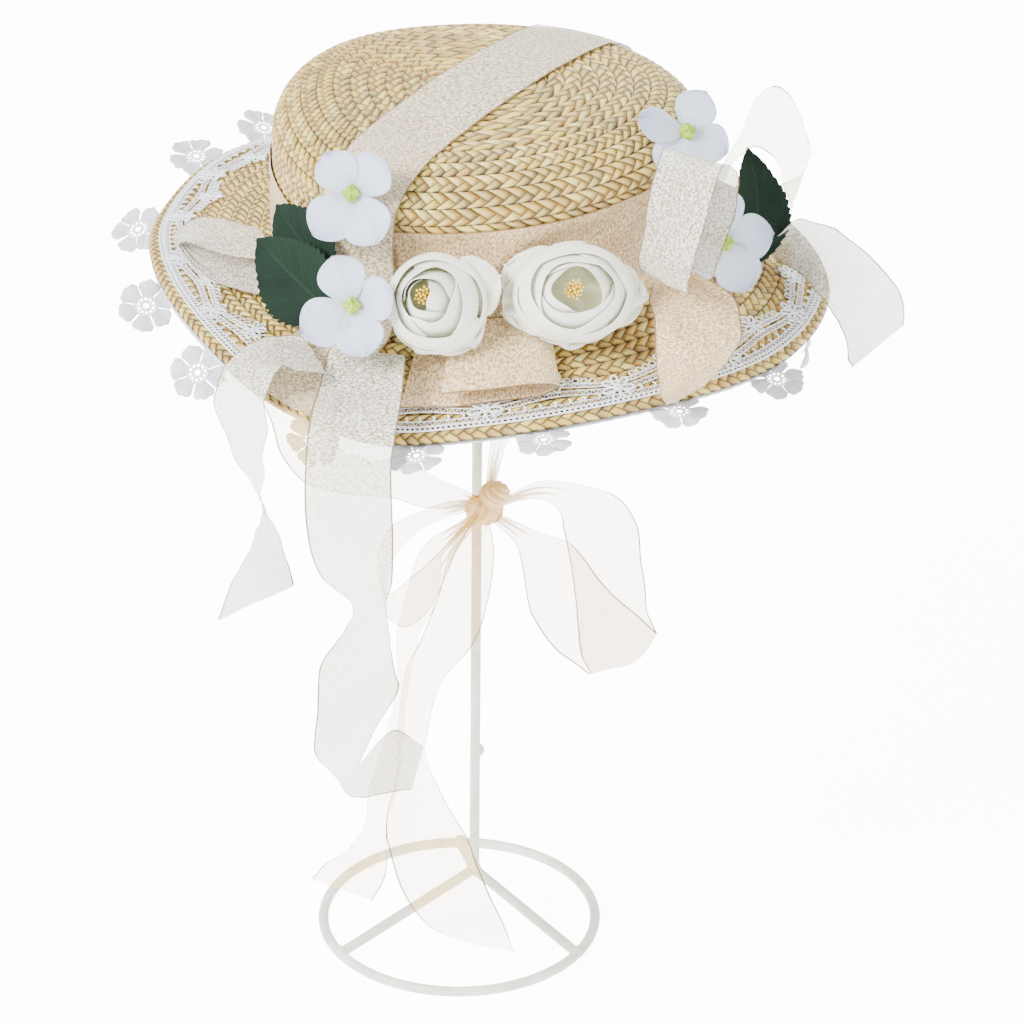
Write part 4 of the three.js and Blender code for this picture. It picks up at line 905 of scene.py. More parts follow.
def add_ribbon(name, node, sections, material, slot, held, rests_on, **shape):
    """One length of ribbon, made as the sheet of cloth that it was cut as; its cut length is printed."""
    middles = [curve_point([s[0] for s in sections], k / 160) for k in range(161)]
    cut = sum((b - a).length for a, b in zip(middles, middles[1:]))
    grid = bent_grid(max(40, round(cut / 1.6)), 22, ribbon_shape(sections, **shape), (cut, RIBBON))
    cloth = sum(face.calc_area() for face in grid.faces) * 1e6
    if not 0.8 < cloth / (cut * RIBBON) < 1.3:
        cut = cloth / RIBBON  # where it runs aslant, the cloth itself says how much was cut
    piece = piece_of(name, grid, material, node)
    print("  cut length", round(cut), "mm, cloth", round(cloth / 100, 1), "square cm")
    return piece


# %% [markdown]
# The tie ribbon runs straight over the crown. A ribbon pulled over a dome keeps to its own plane,
# so each of its threads is found where an upright plane cuts the hat. It lies flat on the straw,
# steps over the band, and crosses the brim to its edge on both sides.

# %% Tie ribbon over the crown
TIE_HEADING = math.radians(55)
BAND_FOLD = 0.9
OVER_BAND = CLEAR + BAND_FOLD + CLOTH + 2 * CLEAR
OVER_LACE = CLEAR + CLOTH + 3 * CLEAR


def beside(t, reach):
    """How far a point of the oval lies to the right of the ribbon's middle line."""
    x, y = oval(t, reach)
    return (x - HAT_ASIDE) * math.sin(TIE_HEADING) - y * math.cos(TIE_HEADING)


def crossing(reach, v, way):
    """Angle at which the oval of this reach crosses the plane at offset v."""
    low, high = TIE_HEADING - math.pi / 2, TIE_HEADING - math.pi / 2 + way * math.pi
    for _ in range(30):
        middle = (low + high) / 2
        low, high = (middle, high) if beside(middle, reach) > v else (low, middle)
    return (low + high) / 2


def nearest(v):
    """Smallest reach whose oval still touches the plane at offset v."""
    low, high = 0.0, CROWN_REACH
    right = TIE_HEADING - math.pi / 2
    for _ in range(30):
        middle = (low + high) / 2
        past = beside(right, middle) > v if v > 0 else beside(right + math.pi, middle) < v
        low, high = (low, middle) if past else (middle, high)
    return high + 0.01


def over_crown_point(kind, share, way, v):
    if kind == "brim":
        t = crossing(CROWN_REACH + BRIM_WIDTH * share, v, way)
        for _ in range(3):
            wide, slope = brim_at(round(t, 5))
            t = crossing(CROWN_REACH + wide * share * math.cos(slope), v, way)
        return brim_point(t, share, OVER_LACE + 0.5 * CLOTH)
    if kind == "side":
        reach = CROWN_REACH + OVER_BAND + 0.5 * CLOTH
        return Vector((*oval(crossing(reach, v, way), reach), BRIM_HEIGHT + SIDE * share))
    low = nearest(v)
    reach = low + (CROWN_REACH - low) * share
    height, out, up = crown_at(reach)
    e = min(1.0, max(0.0, (reach / CROWN_REACH - 0.8) / 0.19))
    lift = 1.3 + (OVER_BAND + 0.2 - 1.3) * e * e * (3 - 2 * e)
    x, y = oval(crossing(reach + lift * out, v, way), reach + lift * out)
    return Vector((x, y, BRIM_HEIGHT + height + lift * up))


walk = ([("brim", s) for s in (1, 0.75, 0.45, 0.12)] + [("side", s) for s in (0.12, 0.5, 1)]
        + [("top", s) for s in (0.975, 0.92, 0.84, 0.72, 0.55, 0.3)])
stations = [(*s, -1) for s in walk] + [("top", 0, 1)] + [(*s, 1) for s in reversed(walk)]
columns = [[over_crown_point(*s, (2 * j / 10 - 1) * RIBBON / 2) for s in stations] for j in range(11)]


def over_crown(u, v):
    k = min(9, int(v * 10))
    f = v * 10 - k
    point = curve_point(columns[k], u).lerp(curve_point(columns[k + 1], u), f)
    lift = 0.55 * noise.noise(Vector((u * 30, v * 1.6, 4))) + 0.3 * noise.noise(Vector((u * 60, v * 7, 1)))
    return point + Vector((0, 0, lift + 0.25))


OVER_CROWN = sum((a - b).length for a, b in zip(columns[5], columns[5][1:]))
crown_ribbon = piece_of("tie_over_crown", bent_grid(220, 24, over_crown, (OVER_CROWN, RIBBON)),
                        over_crown_finish, "crown_ribbon")
print("ribbon over the crown:", round(OVER_CROWN), "mm long")

# %% [markdown]
# From the brim's edge the same ribbon hangs down on both sides to the knot, where it is tied in
# a bow with one large loop, one small loop and two long tails.

# %% Straps, bow and tie tails
STRAP_LEFT = 172
STRAP_LEFT_ROWS = [  # drop, aside, ahead as shares of the length; turn, tip; open share
    (0.0, 0.0, 0.0, -35, -2), (0.04, 0.04, 0.04, -32, 3), (0.1, 0.08, 0.05, -16, 4),
    (0.17, 0.12, 0.03, 40, -8), (0.25, 0.17, -0.08, 73, -7), (0.34, 0.26, -0.23, 91, -5),
    (0.44, 0.33, -0.36, 89, -3), (0.54, 0.41, -0.48, 88, -12), (0.59, 0.465, -0.565, 92, -7, 0.35),
]
STRAP_RIGHT = 190
STRAP_RIGHT_ROWS = [
    (0.0, 0.0, 0.0, -35, 0), (0.06, 0.02, -0.03, -35, 4), (0.15, -0.02, 0.05, -42, 12),
    (0.28, -0.1, 0.24, -58, 22), (0.39, -0.19, 0.46, -70, 25), (0.455, -0.265, 0.7, -72, 25, 0.75),
    (0.486, -0.29, 0.836, -74, 20, 0.25),
]


def strap_sections(heading, length, rows):
    """A strap starts along the brim's edge, where the ribbon over the crown ends."""
    p, around, outward, up = brim_frame(math.radians(heading), 1, 0)
    sections = free_sections(p + outward * (CLEAR + 0.4 * CLOTH) + up * CLOTH, length, rows)
    way = around * math.copysign(1, around.dot(sections[0][1]))
    return [(sections[0][0], way, 1.0), (sections[1][0], way, 1.0)] + sections[2:]


for side, heading, length, rows, seed in (("left", -125, STRAP_LEFT, STRAP_LEFT_ROWS, 1.0),
                                          ("right", 55, STRAP_RIGHT, STRAP_RIGHT_ROWS, 2.0)):
    add_ribbon("tie_strap_" + side, "strap_" + side,
               tucked(strap_sections(heading, length, rows), False, True),
               tie_ribbon, "sheer", "hung", ["brim_straw", "tie_knot"], seed=seed, folds=3)

TIE_TAIL_LEFT = 209
TIE_TAIL_LEFT_ROWS = [
    (0.0, 0.0, 0.0, -60, 14, 0.35), (0.05, -0.06, 0.02, -70, 24, 0.85), (0.16, -0.09, 0.04, -65, 23),
    (0.27, -0.12, 0.05, -72, 30), (0.43, -0.14, 0.06, -79, 31), (0.55, -0.16, 0.07, -74, 26),
    (0.65, -0.18, 0.08, -68, 28), (0.74, -0.2, 0.08, -67, 38), (0.82, -0.22, 0.08, -56, 28),
    (0.88, -0.25, 0.08, -40, 12), (0.93, -0.28, 0.08, -41, 6),
]
TIE_TAIL_RIGHT = 239
TIE_TAIL_RIGHT_ROWS = [
    (0.0, 0.0, 0.0, -58, 25, 0.3), (0.05, -0.02, 0.01, -48, 26, 0.85), (0.15, -0.04, 0.03, -48, 22),
    (0.24, -0.07, 0.04, -49, 21), (0.32, -0.12, 0.05, -62, 21), (0.43, -0.14, 0.06, -68, 19),
    (0.52, -0.14, 0.07, -61, 35), (0.6, -0.13, 0.08, -38, 24), (0.68, -0.11, 0.09, 0, -1),
    (0.78, -0.08, 0.1, 0, 8), (0.87, -0.03, 0.11, -26, 23), (0.92, 0.03, 0.12, -62, 25),
]
BOW_RIGHT = 239
BOW_RIGHT_ROWS = [
    (0.000, 0.000, 0.000, -20, 60, 0.3), (-0.017, 0.049, 0.000, -30, 55, 0.35),
    (-0.003, 0.100, -0.017, -40, 40, 0.6), (0.036, 0.155, -0.038, -27, 27, 0.85),
    (0.111, 0.182, -0.067, -24, 14), (0.187, 0.191, -0.079, -28, 15), (0.253, 0.200, -0.075, -28, 18),
    (0.310, 0.209, -0.054, -24, 25), (0.351, 0.223, -0.013, -10, 27), (0.334, 0.229, 0.046, -4, 38),
    (0.278, 0.193, 0.079, 0, 44), (0.225, 0.144, 0.092, 2, 47), (0.155, 0.099, 0.088, -5, 47),
    (0.090, 0.072, 0.063, -22, 37, 0.75), (0.068, 0.041, 0.038, -25, 33, 0.45),
    (0.050, -0.014, 0.021, -25, 30, 0.2),
]
BOW_LEFT = 147
BOW_LEFT_ROWS = [
    (0.000, 0.000, 0.000, -85, 2, 0.3), (0.043, -0.082, -0.027, -76, 17, 0.7),
    (0.118, -0.184, -0.051, -82, 18), (0.195, -0.252, -0.051, -86, 6), (0.271, -0.270, 0.048, -84, -6),
    (0.301, -0.231, 0.156, -78, 6), (0.179, -0.136, 0.245, -74, 6, 0.85),
    (0.050, -0.034, 0.170, -78, 12, 0.4), (0.012, 0.017, 0.082, -85, 12, 0.2),
]
TIED = [
    ("tie_end_left", "tie_tail_left", (1.9, -33, 244.5), TIE_TAIL_LEFT, TIE_TAIL_LEFT_ROWS, 3.0),
    ("tie_end_right", "tie_tail_right", (11.8, -32, 243), TIE_TAIL_RIGHT, TIE_TAIL_RIGHT_ROWS, 4.0),
    ("bow_right", "bow_loop_right", (25, -31, 258.2), BOW_RIGHT, BOW_RIGHT_ROWS, 5.0),
    ("bow_left", "bow_loop_left", (4, -31, 255.3), BOW_LEFT, BOW_LEFT_ROWS, 6.0),
]
BOW_ROUND = (0.533, 0.075, Vector((3.5, 0, -7)))
for name, node, start, length, rows, seed in TIED:
    sections = tucked(free_sections(start, length, rows), True, name.startswith("bow"))
    add_ribbon(name, node, sections, tie_ribbon, "sheer", "hung", ["tie_knot"], seed=seed, folds=3,
               soft=0.6, belly=BOW_ROUND if name == "bow_right" else None)

# %% [markdown]
# The trimming is cut from a whiter, crinkled crepe. Two long tails fall from under the flowers at
# the left, two short ones lie and fly at the right, and four loops fill in between the flowers.

# %% Tails of the trimming
LEFT_TAIL = 160
LEFT_TAIL_ROWS = [
    (0.0, 0.0, 0.0, -69, -8, 0.8), (-0.01, -0.1, 0.02, -63, 3), (0.01, -0.17, 0.04, -45, 20),
    (0.12, -0.21, 0.04, -49, 23), (0.23, -0.2, 0.04, -54, 26), (0.32, -0.19, 0.03, -66, 30),
    (0.4, -0.17, 0.02, -77, 32), (0.46, -0.16, 0.02, -86, 29), (0.52, -0.15, 0.02, -94, 26),
    (0.59, -0.15, 0.02, -108, 25), (0.69, -0.16, 0.02, -125, 17), (0.81, -0.18, 0.02, -154, -13),
]
LONG_TAIL = 275
LONG_TAIL_ROWS = [
    (0.0, 0.0, 0.0, -28, 6), (0.03, -0.01, 0.08, -14, 6), (0.05, -0.02, 0.14, 0, -1),
    (0.13, -0.03, 0.15, -11, 3), (0.25, -0.03, 0.15, -1, -4), (0.35, -0.02, 0.15, -31, 13),
    (0.4, 0.0, 0.15, -61, 28), (0.46, 0.0, 0.15, -56, 20), (0.53, -0.02, 0.15, -27, 10),
    (0.59, -0.02, 0.15, -5, 19), (0.66, -0.04, 0.16, -30, 35), (0.73, -0.04, 0.155, -71, 38),
    (0.75, -0.02, 0.13, -64, 59), (0.73, 0.03, 0.12, -40, 78), (0.74, 0.08, 0.12, -72, 61),
]
FRONT_TAIL = 77
FRONT_TAIL_ROWS = [
    (0.000, 0.000, 0.000, -48, 30, 0.8), (0.019, 0.097, 0.260, 0, 2), (0.113, 0.127, 0.468, -4, -5),
    (0.240, 0.065, 0.675, -42, 16), (0.353, -0.013, 0.805, -70, 28), (0.391, -0.039, 0.838, -82, 30),
]
SIDE_TAIL = 85
SIDE_TAIL_ROWS = [
    (0, 0, 0, -80, 30, 0.7), (-0.053, 0.152, 0.071, -74, 58), (-0.035, 0.304, 0.188, -52, 62),
    (0.059, 0.456, 0.322, -34, 62), (0.194, 0.572, 0.402, -17, 55), (0.306, 0.608, 0.424, 0, 51),
    (0.394, 0.622, 0.453, 5, 42, 0.8),
]
ROLL_LOOP = 141
ROLL_LOOP_ROWS = [
    (0.000, 0.000, 0.000, -54, 9, 0.8), (-0.113, 0.028, -0.050, -54, 9), (-0.241, 0.064, -0.099, -52, 9),
    (-0.340, 0.050, -0.085, -50, 9), (-0.383, 0.004, -0.046, -48, 9), (-0.262, -0.043, 0.043, -50, 9),
    (-0.113, -0.085, 0.142, -54, 8), (-0.050, -0.092, 0.174, -57, 8), (-0.02, -0.065, 0.135, -57, 8, 0.85),
]
BACK_LOOP = 129
BACK_LOOP_ROWS = [
    (0, -0.045, 0, 86, 6, 0.8), (-0.163, 0.023, -0.016, 75, 15), (-0.302, 0.093, -0.039, 75, 18),
    (-0.357, 0.155, -0.054, 75, 20), (-0.295, 0.225, -0.078, 75, 18), (-0.155, 0.279, -0.093, 75, 15),
    (-0.039, 0.291, -0.093, 75, 12), (0.01, 0.24, -0.07, 75, 10), (0.03, 0.14, -0.03, 75, 10, 0.8),
]
TRIMMING = [
    ("tail_left", "left_tail", (-63.7, -118.6, 384.8), LEFT_TAIL, LEFT_TAIL_ROWS, white_crepe, 7.0),
    ("tail_long", "long_tail", (-39.7, -113.4, 384.2), LONG_TAIL, LONG_TAIL_ROWS, white_crepe, 8.0),
    ("tail_front", "right_front_tail", (101, -72, 399.4), FRONT_TAIL, FRONT_TAIL_ROWS, peach_crepe, 9.0),
    ("tail_side", "right_side_tail", (143.6, -4.3, 380.6), SIDE_TAIL, SIDE_TAIL_ROWS, white_crepe, 10.0),
    ("loop_roll", "roll_loop", (108, -78.2, 407.1), ROLL_LOOP, ROLL_LOOP_ROWS, white_crepe, 11.0),
    ("loop_back", "back_loop", (123, 2.1, 395.2), BACK_LOOP, BACK_LOOP_ROWS, tie_ribbon, 12.0),
]
for name, node, start, length, rows, cloth, seed in TRIMMING:
    add_ribbon(name, node, free_sections(start, length, rows), cloth, "crepe",
               "hung", ["brim_straw"], seed=seed, folds=3, soft=0.8)

# %% [markdown]
# Two loops lie on the brim, so their sections are given by an angle round the hat and a share
# of the way out, and follow the brim when it changes.

# %% Loops that lie on the brim
LEFT_LOOP_ROWS = [  # angle, out, lift as a share of the width, turn, open share
    (197, 0.2, 0.085, 8), (192, 0.38, 0.065, 6), (186, 0.58, 0.065, 4, 0.9), (180, 0.72, 0.085, 0, 0.5),
    (177, 0.78, 0.165, 0, 0.3), (177, 0.73, 0.245, 0, 0.45), (179.5, 0.55, 0.285, 0, 0.95),
    (185, 0.3, 0.305, -4), (190, 0.1, 0.305, -6),
]
FRONT_LOOP_ROWS = [
    (-104, 0.4, 0.065, 90), (-95, 0.4, 0.065, 90), (-86, 0.4, 0.075, 92), (-79, 0.42, 0.105, 95),
    (-76, 0.43, 0.205, 95), (-79, 0.42, 0.315, 92), (-86, 0.4, 0.325, 90), (-96, 0.38, 0.305, 90),
]
for name, node, rows, cloth in (("loop_left", "left_loop", LEFT_LOOP_ROWS, white_crepe),
                                ("loop_front", "front_loop", FRONT_LOOP_ROWS, peach_crepe)):
    add_ribbon(name, node, brim_sections(rows), cloth, "crepe", "folded", ["brim_straw"],
               seed=13.0, folds=3, soft=0.4)

# %% [markdown]
# The band is a wider crepe, gathered by a running thread above and below, so long soft folds run
# round the crown. It is one closed ring of cloth, a little longer than the crown is round.

# %% Band
def band_place(u, v):
    """A point of the gathered band, v from its lower to its upper edge."""
    t = u * TURN_ROUND
    deg = math.degrees(t)
    top = SIDE * ring_value(BAND_SECTIONS, 1, deg) + 0.5 * math.sin(9 * t) * noise.noise(
        Vector((3 * math.cos(t), 3 * math.sin(t), 2)))
    h = 0.6 + (top - 0.6) * v
    at = Vector((2.2 * math.cos(t), 2.2 * math.sin(t), 0))
    sway = 2.4 * noise.noise(at * 1.4 + Vector((0, 0, v)))
    folds = math.sin((v * 3.1 + 0.35 * sway) * TURN_ROUND) * 0.85
    ripple = 0.55 * noise.noise(Vector((14 * math.cos(t), 14 * math.sin(t), v * 9)))
    pinch = min(1.0, 6 * v, 6 * (1 - v) + 0.2)
    lift = CLEAR + 1.15 + (folds * 0.7 + ripple) * pinch
    x, y = oval(t, CROWN_REACH + lift)
    return Vector((x, y, BRIM_HEIGHT + h))


BAND_LENGTH = TURN_ROUND * (CROWN_REACH + 3)
band_grid = bent_grid(420, 44, band_place, (BAND_LENGTH, BAND_CUT))
close_seam(band_grid)
band = piece_of("band_gathered", band_grid, band_crepe, "crown_band")

# %% [markdown]
# The knot is the ribbon wound over itself: a round coil on top of a gathered body. Both start as
# a sphere; spiral furrows are pressed in along its meridians, as pulled cloth shows them.

# %% Knot
def furrowed_ball(middle, size, count, depth, twist, seed):
    """A sphere with twisted furrows from pole to pole."""
    ball = bmesh.new()
    bmesh.ops.create_uvsphere(ball, u_segments=72, v_segments=36, radius=1, calc_uvs=False)
    for vert in ball.verts:
        a = math.atan2(vert.co.y, vert.co.x) + twist * vert.co.z
        away = math.hypot(vert.co.x, vert.co.y)
        press = depth * away * abs(math.sin(count * a / 2)) ** 0.6
        press += 0.05 * noise.noise(vert.co * 3 + Vector((seed, 0, 0)))
        shape = vert.co * (1 - depth + press)
        vert.co = metres(Vector(middle) + Vector(a * b for a, b in zip(shape, size)))
    return ball


knot = furrowed_ball(KNOT + Vector((3, -3, 8)), (7.6, 6.6, 7.4), 7, 0.22, 1.6, 1)
add_grid(knot, furrowed_ball(KNOT + Vector((-2, 0, -2)), (9.4, 7.4, 9), 11, 0.2, -0.5, 5))
knot_finish, tree, shader = new_material("knotted_ribbon", 0.5, Sheen_Weight=0.3)
own = put(tree, "ShaderNodeTexCoord").outputs["Object"]
grainy = mottle(tree, own, 700.0, 3.0)
spots = use_group(tree, patches, Size=9.0, Sharpness=0.3)
base = blend_colour(tree, spots["Mask"], "e6b263", "f7d69a")
colour_with(tree, shader, wash(tree, base, "ffe0ac", grainy, 0.4))
emboss(tree, shader, grainy, 0.4, 0.0005)
piece_of("knot_tied", knot, knot_finish, "tie_knot")

# %% [markdown]
# ## Flowers and leaves
# Cloth flowers are stamped: each petal is cut from satin, pressed into a shallow cup and veined by
# the hot iron. A petal here is a bent grid as wide as its own outline, with fine rays pressed
# into it, and its wall comes from extruding the grid along its own normals.

# %% Petal and leaf finishes
petal_finish, tree, shader = new_material("satin_petal", 0.55, Sheen_Weight=0.35)
flat = flat_map(tree)
rays = stripes(tree, flat, 0.55, 1.2)
root = remap(tree, split_up(tree, flat)["X"], 0.0, 9.0, 1.0, 0.0)
# The rays are tinted blue-grey, partly as a pressed vein pattern and partly as painted shade across the
# petal.
vein_and_shade_tint = wash(tree, "dfebff", "a8bcf2", rays, 0.45)
colour_with(tree, shader, wash(tree, vein_and_shade_tint, "e3ecc0", root, 0.35))
weft = calc(tree, "MULTIPLY", mottle(tree, flat, 2.2, 3.0), 0.5)
emboss(tree, shader, calc(tree, "ADD", rays, weft), 0.7, 0.0006)

rose_finish, tree, shader = new_material("rose_petal", 0.5, Sheen_Weight=0.3)
flat = flat_map(tree)
veins = stripes(tree, flat, 0.4, 2.0)
# Each petal darkens to a dull green toward its base, as painted shade deep in the bloom.
depth = remap(tree, split_up(tree, flat)["X"], 2.0, 24.0, 1.0, 0.0)
milky = wash(tree, "f3f3e8", "dde0cc", veins, 0.2)
colour_with(tree, shader, wash(tree, milky, "c6c993", depth, 0.7))
emboss(tree, shader, veins, 0.2, 0.0005)

lime, tree, shader = new_material("lime_heart", 0.6)
dots = use_group(tree, patches, Size=2.5, Sharpness=0.6)
colour_with(tree, shader, blend_colour(tree, dots["Mask"], "6f9e0c", "b9c936"))
emboss(tree, shader, dots["Grain"], 0.6, 0.0004)

stamen_gold, tree, shader = new_material("stamen_gold", 0.6)
dots = use_group(tree, patches, Size=2.0, Sharpness=0.6)
colour_with(tree, shader, blend_colour(tree, dots["Mask"], "dba90e", "f2d848"))

leaf_finish, tree, shader = new_material("cloth_leaf", 0.75, Specular_IOR_Level=0.12)
flat = flat_map(tree)
split = split_up(tree, flat)
aside = calc(tree, "ABSOLUTE", calc(tree, "SUBTRACT", split["Y"], 20.0))
rib = remap(tree, aside, 0.3, 1.1, 1.0, 0.0)
branch = calc(tree, "PINGPONG", calc(tree, "SUBTRACT", split["X"], calc(
    tree, "MULTIPLY", aside, 0.9)), 3.6)
all_veins = calc(tree, "MAXIMUM", rib, remap(tree, branch, 0.0, 0.55, 0.7, 0.0))
linen = mottle(tree, flat, 2.6, 3.0)
shades = use_group(tree, patches, Size=26.0, Sharpness=0.2)
green = blend_colour(tree, shades["Mask"], "0a1811", "13271b")
dull = wash(tree, green, "15281c", linen, 0.3)
colour_with(tree, shader, wash(tree, dull, "2a4434", all_veins, 0.18))
height = calc(tree, "ADD", calc(tree, "MULTIPLY", all_veins, 0.7), calc(tree, "MULTIPLY", linen, 0.3))
emboss(tree, shader, height, 0.4, 0.0006)

# %% [markdown]
# A flower faces its own way. Its petals are shaped as if it lay flat, and a frame of three axes
# then sets it in its place.

# %% Helper: a stamped petal, leaf or bud seen from its own side
def faced(at, look):
    """A frame at a place that looks along a direction: its x, y and z axes."""
    z = Vector(look).normalized()
    x = Vector((0, 0, 1)).cross(z).normalized()
    return Vector(at), x, z.cross(x), z


def set_in(frame_of, x, y, z):
    """A point of a flower's own frame, in millimetres about the base ring."""
    at, ax, ay, az = frame_of
    return at + ax * x + ay * y + az * z


def thickened(grid, wall):
    """Gives a bent grid a wall in millimetres, straight along its own normals."""
    bmesh.ops.recalc_face_normals(grid, faces=grid.faces)
    grid.normal_update()
    way = grid.verts.layers.float_vector.new("way")
    for vert in grid.verts:
        vert[way] = vert.normal
    grown = bmesh.ops.extrude_face_region(grid, geom=grid.faces[:], use_keep_orig=True)
    for item in grown["geom"]:
        if isinstance(item, bmesh.types.BMVert):
            item.co -= item[way] * wall / 1000
    grid.verts.layers.float_vector.remove(way)
    bmesh.ops.recalc_face_normals(grid, faces=grid.faces)
    return grid


# %% [markdown]
# Four petals, the later ones over the earlier. Each has its own angle, length, lift and cup.

# %% Blossoms
BLOSSOM = 47.0
BLOSSOMS = [
    ("blossom_1", (-46, -92, 453.2), (-0.25, -0.85, 0.5), 10.2,
     [(50, 0.95, 10, 0.06), (130, 0.9, 10, 0.06), (236, 1.08, 6, 0.04), (307, 1.12, 6, 0.04)]),
    ("blossom_2", (-46, -121.5, 411.6), (-0.1, -0.85, 0.5), 36.4,
     [(18, 0.85, 16, 0.06), (113, 1.0, 10, 0.06), (213, 1.1, 6, 0.04), (288, 1.02, 6, 0.04)]),
    ("blossom_3", (105.5, -35.5, 455), (0.35, -0.66, 0.66), 11.8,
     [(50, 0.85, 12, 0.06), (157, 1.1, 8, 0.06), (228, 0.96, -14, 0.02), (318, 0.9, 0, 0.02)]),
    ("blossom_4", (124, -33, 397), (0.35, -0.86, 0.36), 9,
     [(2, 0.95, 10, 0.06), (92, 1.1, 8, 0.06), (200, 0.95, 8, 0.04), (286, 1.05, 4, 0.04)]),
]
PETAL_HALF = 11.2
PETAL_WALL = 0.35  # thickness of the stiff satin


def width_at(table, u):
    """A width between the rows of a table, smoothly."""
    k = min(len(table) - 2, int(u * (len(table) - 1)))
    f = u * (len(table) - 1) - k
    before, after = table[max(0, k - 1)], table[min(len(table) - 1, k + 2)]
    a, b = table[k], table[k + 1]
    return (a + f * (b - before) / 2 + f * f * (before - 2.5 * a + 2 * b - 0.5 * after)
            + f ** 3 * (1.5 * (a - b) + 0.5 * (after - before)))


def petal_place(frame_of, at, long, lift, cup, order, narrow):
    """place(u, v) of one petal that points at an angle."""
    reach = BLOSSOM / 2 * long

    def place(u, v):
        side = 2 * v - 1
        t = 1 - (1 - u) ** 2
        away = reach * t
        wide = PETAL_HALF * long ** 0.5 * narrow * math.sin(math.pi * min(t, 0.9999) ** 1.35) ** 0.6
        z = 1.0 + away * math.tan(math.radians(lift)) * t + BLOSSOM * cup * t * t * (1 - side * side)
        z += 1.9 * side * side * t + 0.5 * order
        z += 0.35 * math.sin(side * 7 + order) * t + 0.8 * noise.noise(
            Vector((t * 2, side * 1.5, order + at)))
        a = math.radians(at)
        return set_in(frame_of, away * math.cos(a) - wide * side * math.sin(a),
                      away * math.sin(a) + wide * side * math.cos(a), z)

    return place


def risen(frame_of, height):
    """The same frame, moved along the way it looks."""
    return (frame_of[0] + frame_of[3] * height,) + frame_of[1:]


def bud(frame_of, width, height, seed):
    """A small domed heart, knobbly like a bead of seeds."""
    ball = bmesh.new()
    bmesh.ops.create_icosphere(ball, subdivisions=4, radius=1, calc_uvs=False)
    for vert in ball.verts:
        n = vert.co.copy()
        bump = 1 + 0.16 * noise.noise(n * 3.4 + Vector((seed, 0, 0))) + 0.1 * math.cos(
            4 * math.atan2(n.y, n.x))
        vert.co = metres(set_in(frame_of, n.x * width / 2 * bump, n.y * width / 2 * bump,
                                (n.z + 0.25) * height * bump))
    return ball


STEM_IN = 0.6  # how far a stem reaches into its flower


def stalk(frame_of, length, thick):
    """The tapered stem that fixes a flower."""
    cone = bmesh.new()
    bmesh.ops.create_cone(cone, cap_ends=True, segments=20, radius1=thick * 0.12, radius2=thick,
                          depth=length)
    for vert in cone.verts:
        vert.co = metres(set_in(frame_of, vert.co.x, vert.co.y, vert.co.z - length / 2 + STEM_IN))
    return cone


for name, at, look, seat, petals in BLOSSOMS:
    frame_of = faced(at, look)
    flower = bmesh.new()
    for order, (angle, long, lift, cup) in enumerate(petals):
        narrow = 0.72 if (name, order) in (("blossom_3", 1),) else 1.0
        place = petal_place(frame_of, angle, long, lift, cup, order % 2, narrow)
        add_grid(flower, thickened(bent_grid(30, 22, place, (BLOSSOM / 2, 20.0)), PETAL_WALL))
    add_grid(flower, stalk(frame_of, seat, 4))
    piece_of(name + "_petals", flower, petal_finish, name)
    piece_of(name + "_bead", bud(risen(frame_of, 2.2), 7.4, 2.9, at[0]), lime, name + "_heart")

# %% [markdown]
# A rose is built like the real one: petals are set one by one on a spiral round the heart, each
# 137.5 degrees on from the last, the outer ones wider and lower. A petal rises, bellies out and
# closes in at its rounded lip, so the lips cross as sweeping arcs. The bloom leans to one side,
# and a few outer petals fall open and ruffle.

# %% Roses
STAMENS = 26
STAMEN_THREAD = 0.28
ROSE = 48.0
ROSE_PETALS = 9
ROSE_WALL = 0.3
STEM_THICK = 6
SPIRAL_STEP = 137.5
ROSES = [  # name, place, look, width, stem, lean of the heart, its opening, open petals
    ("rose_1", (-8.6, -112, 408), (0, -0.88, 0.47), 1.0, 18.4, (-0.13, 0.09), 0.075,
     [(22, 0.66, 0.1), (-48, 0.56, 0.06), (250, 0.5, 0.04)]),
    ("rose_2", (54, -99, 406), (0.1, -0.88, 0.47), 1.22, 19.5, (-0.04, 0.05), 0.15,
     [(150, 0.6, 0.08), (196, 0.58, 0.06), (-8, 0.58, 0.06), (265, 0.53, 0.04)]),
]


def closed_petal(frame_of, wide, lean, mouth, k, first):
    """Petal k of the spiral, from the outside in."""
    f = k / (ROSE_PETALS - 1)
    lip = 0.43 - (0.43 - mouth) * f ** 0.9
    belly = min(0.5, lip + 0.17)
    rise = 0.16 + 0.34 * f ** 0.75
    middle = math.radians(first + SPIRAL_STEP * k)
    half = math.radians(86 + 20 * f)

    def place(u, v):
        side = 2 * v - 1
        top = 1 - 0.3 * abs(side) ** 2.2
        s = 0.12 + 0.88 * u * top
        r = belly * math.sin(min(1.0, s * 1.5) * math.pi / 2) ** 0.7
        r -= (belly - lip) * max(0.0, (s - 0.4) / 0.6) ** 1.25
        curl = max(0.0, (s - 0.88) / 0.12) ** 2
        r += 0.022 * curl + 0.01 * math.sin(side * 6 + k * 1.7) * u ** 3
        r += 0.012 * noise.noise(Vector((u * 2.4, side * 1.7, k * 3.1 + first)))
        z = rise * (1 - math.cos(s * math.pi * 0.62)) / 1.37 - 0.012 * curl
        z += 0.02 * math.sin(side * 3.1 + k) * u * u
        a = middle + side * half * (0.55 + 0.45 * math.sin(min(1.0, u * 1.6) * math.pi / 2))
        slide = (z / 0.46) ** 2 * f ** 0.5
        x = r * wide * math.cos(a) + lean[0] * slide
        return set_in(frame_of, x * ROSE, (r * math.sin(a) + lean[1] * slide) * ROSE, z * ROSE)

    return place


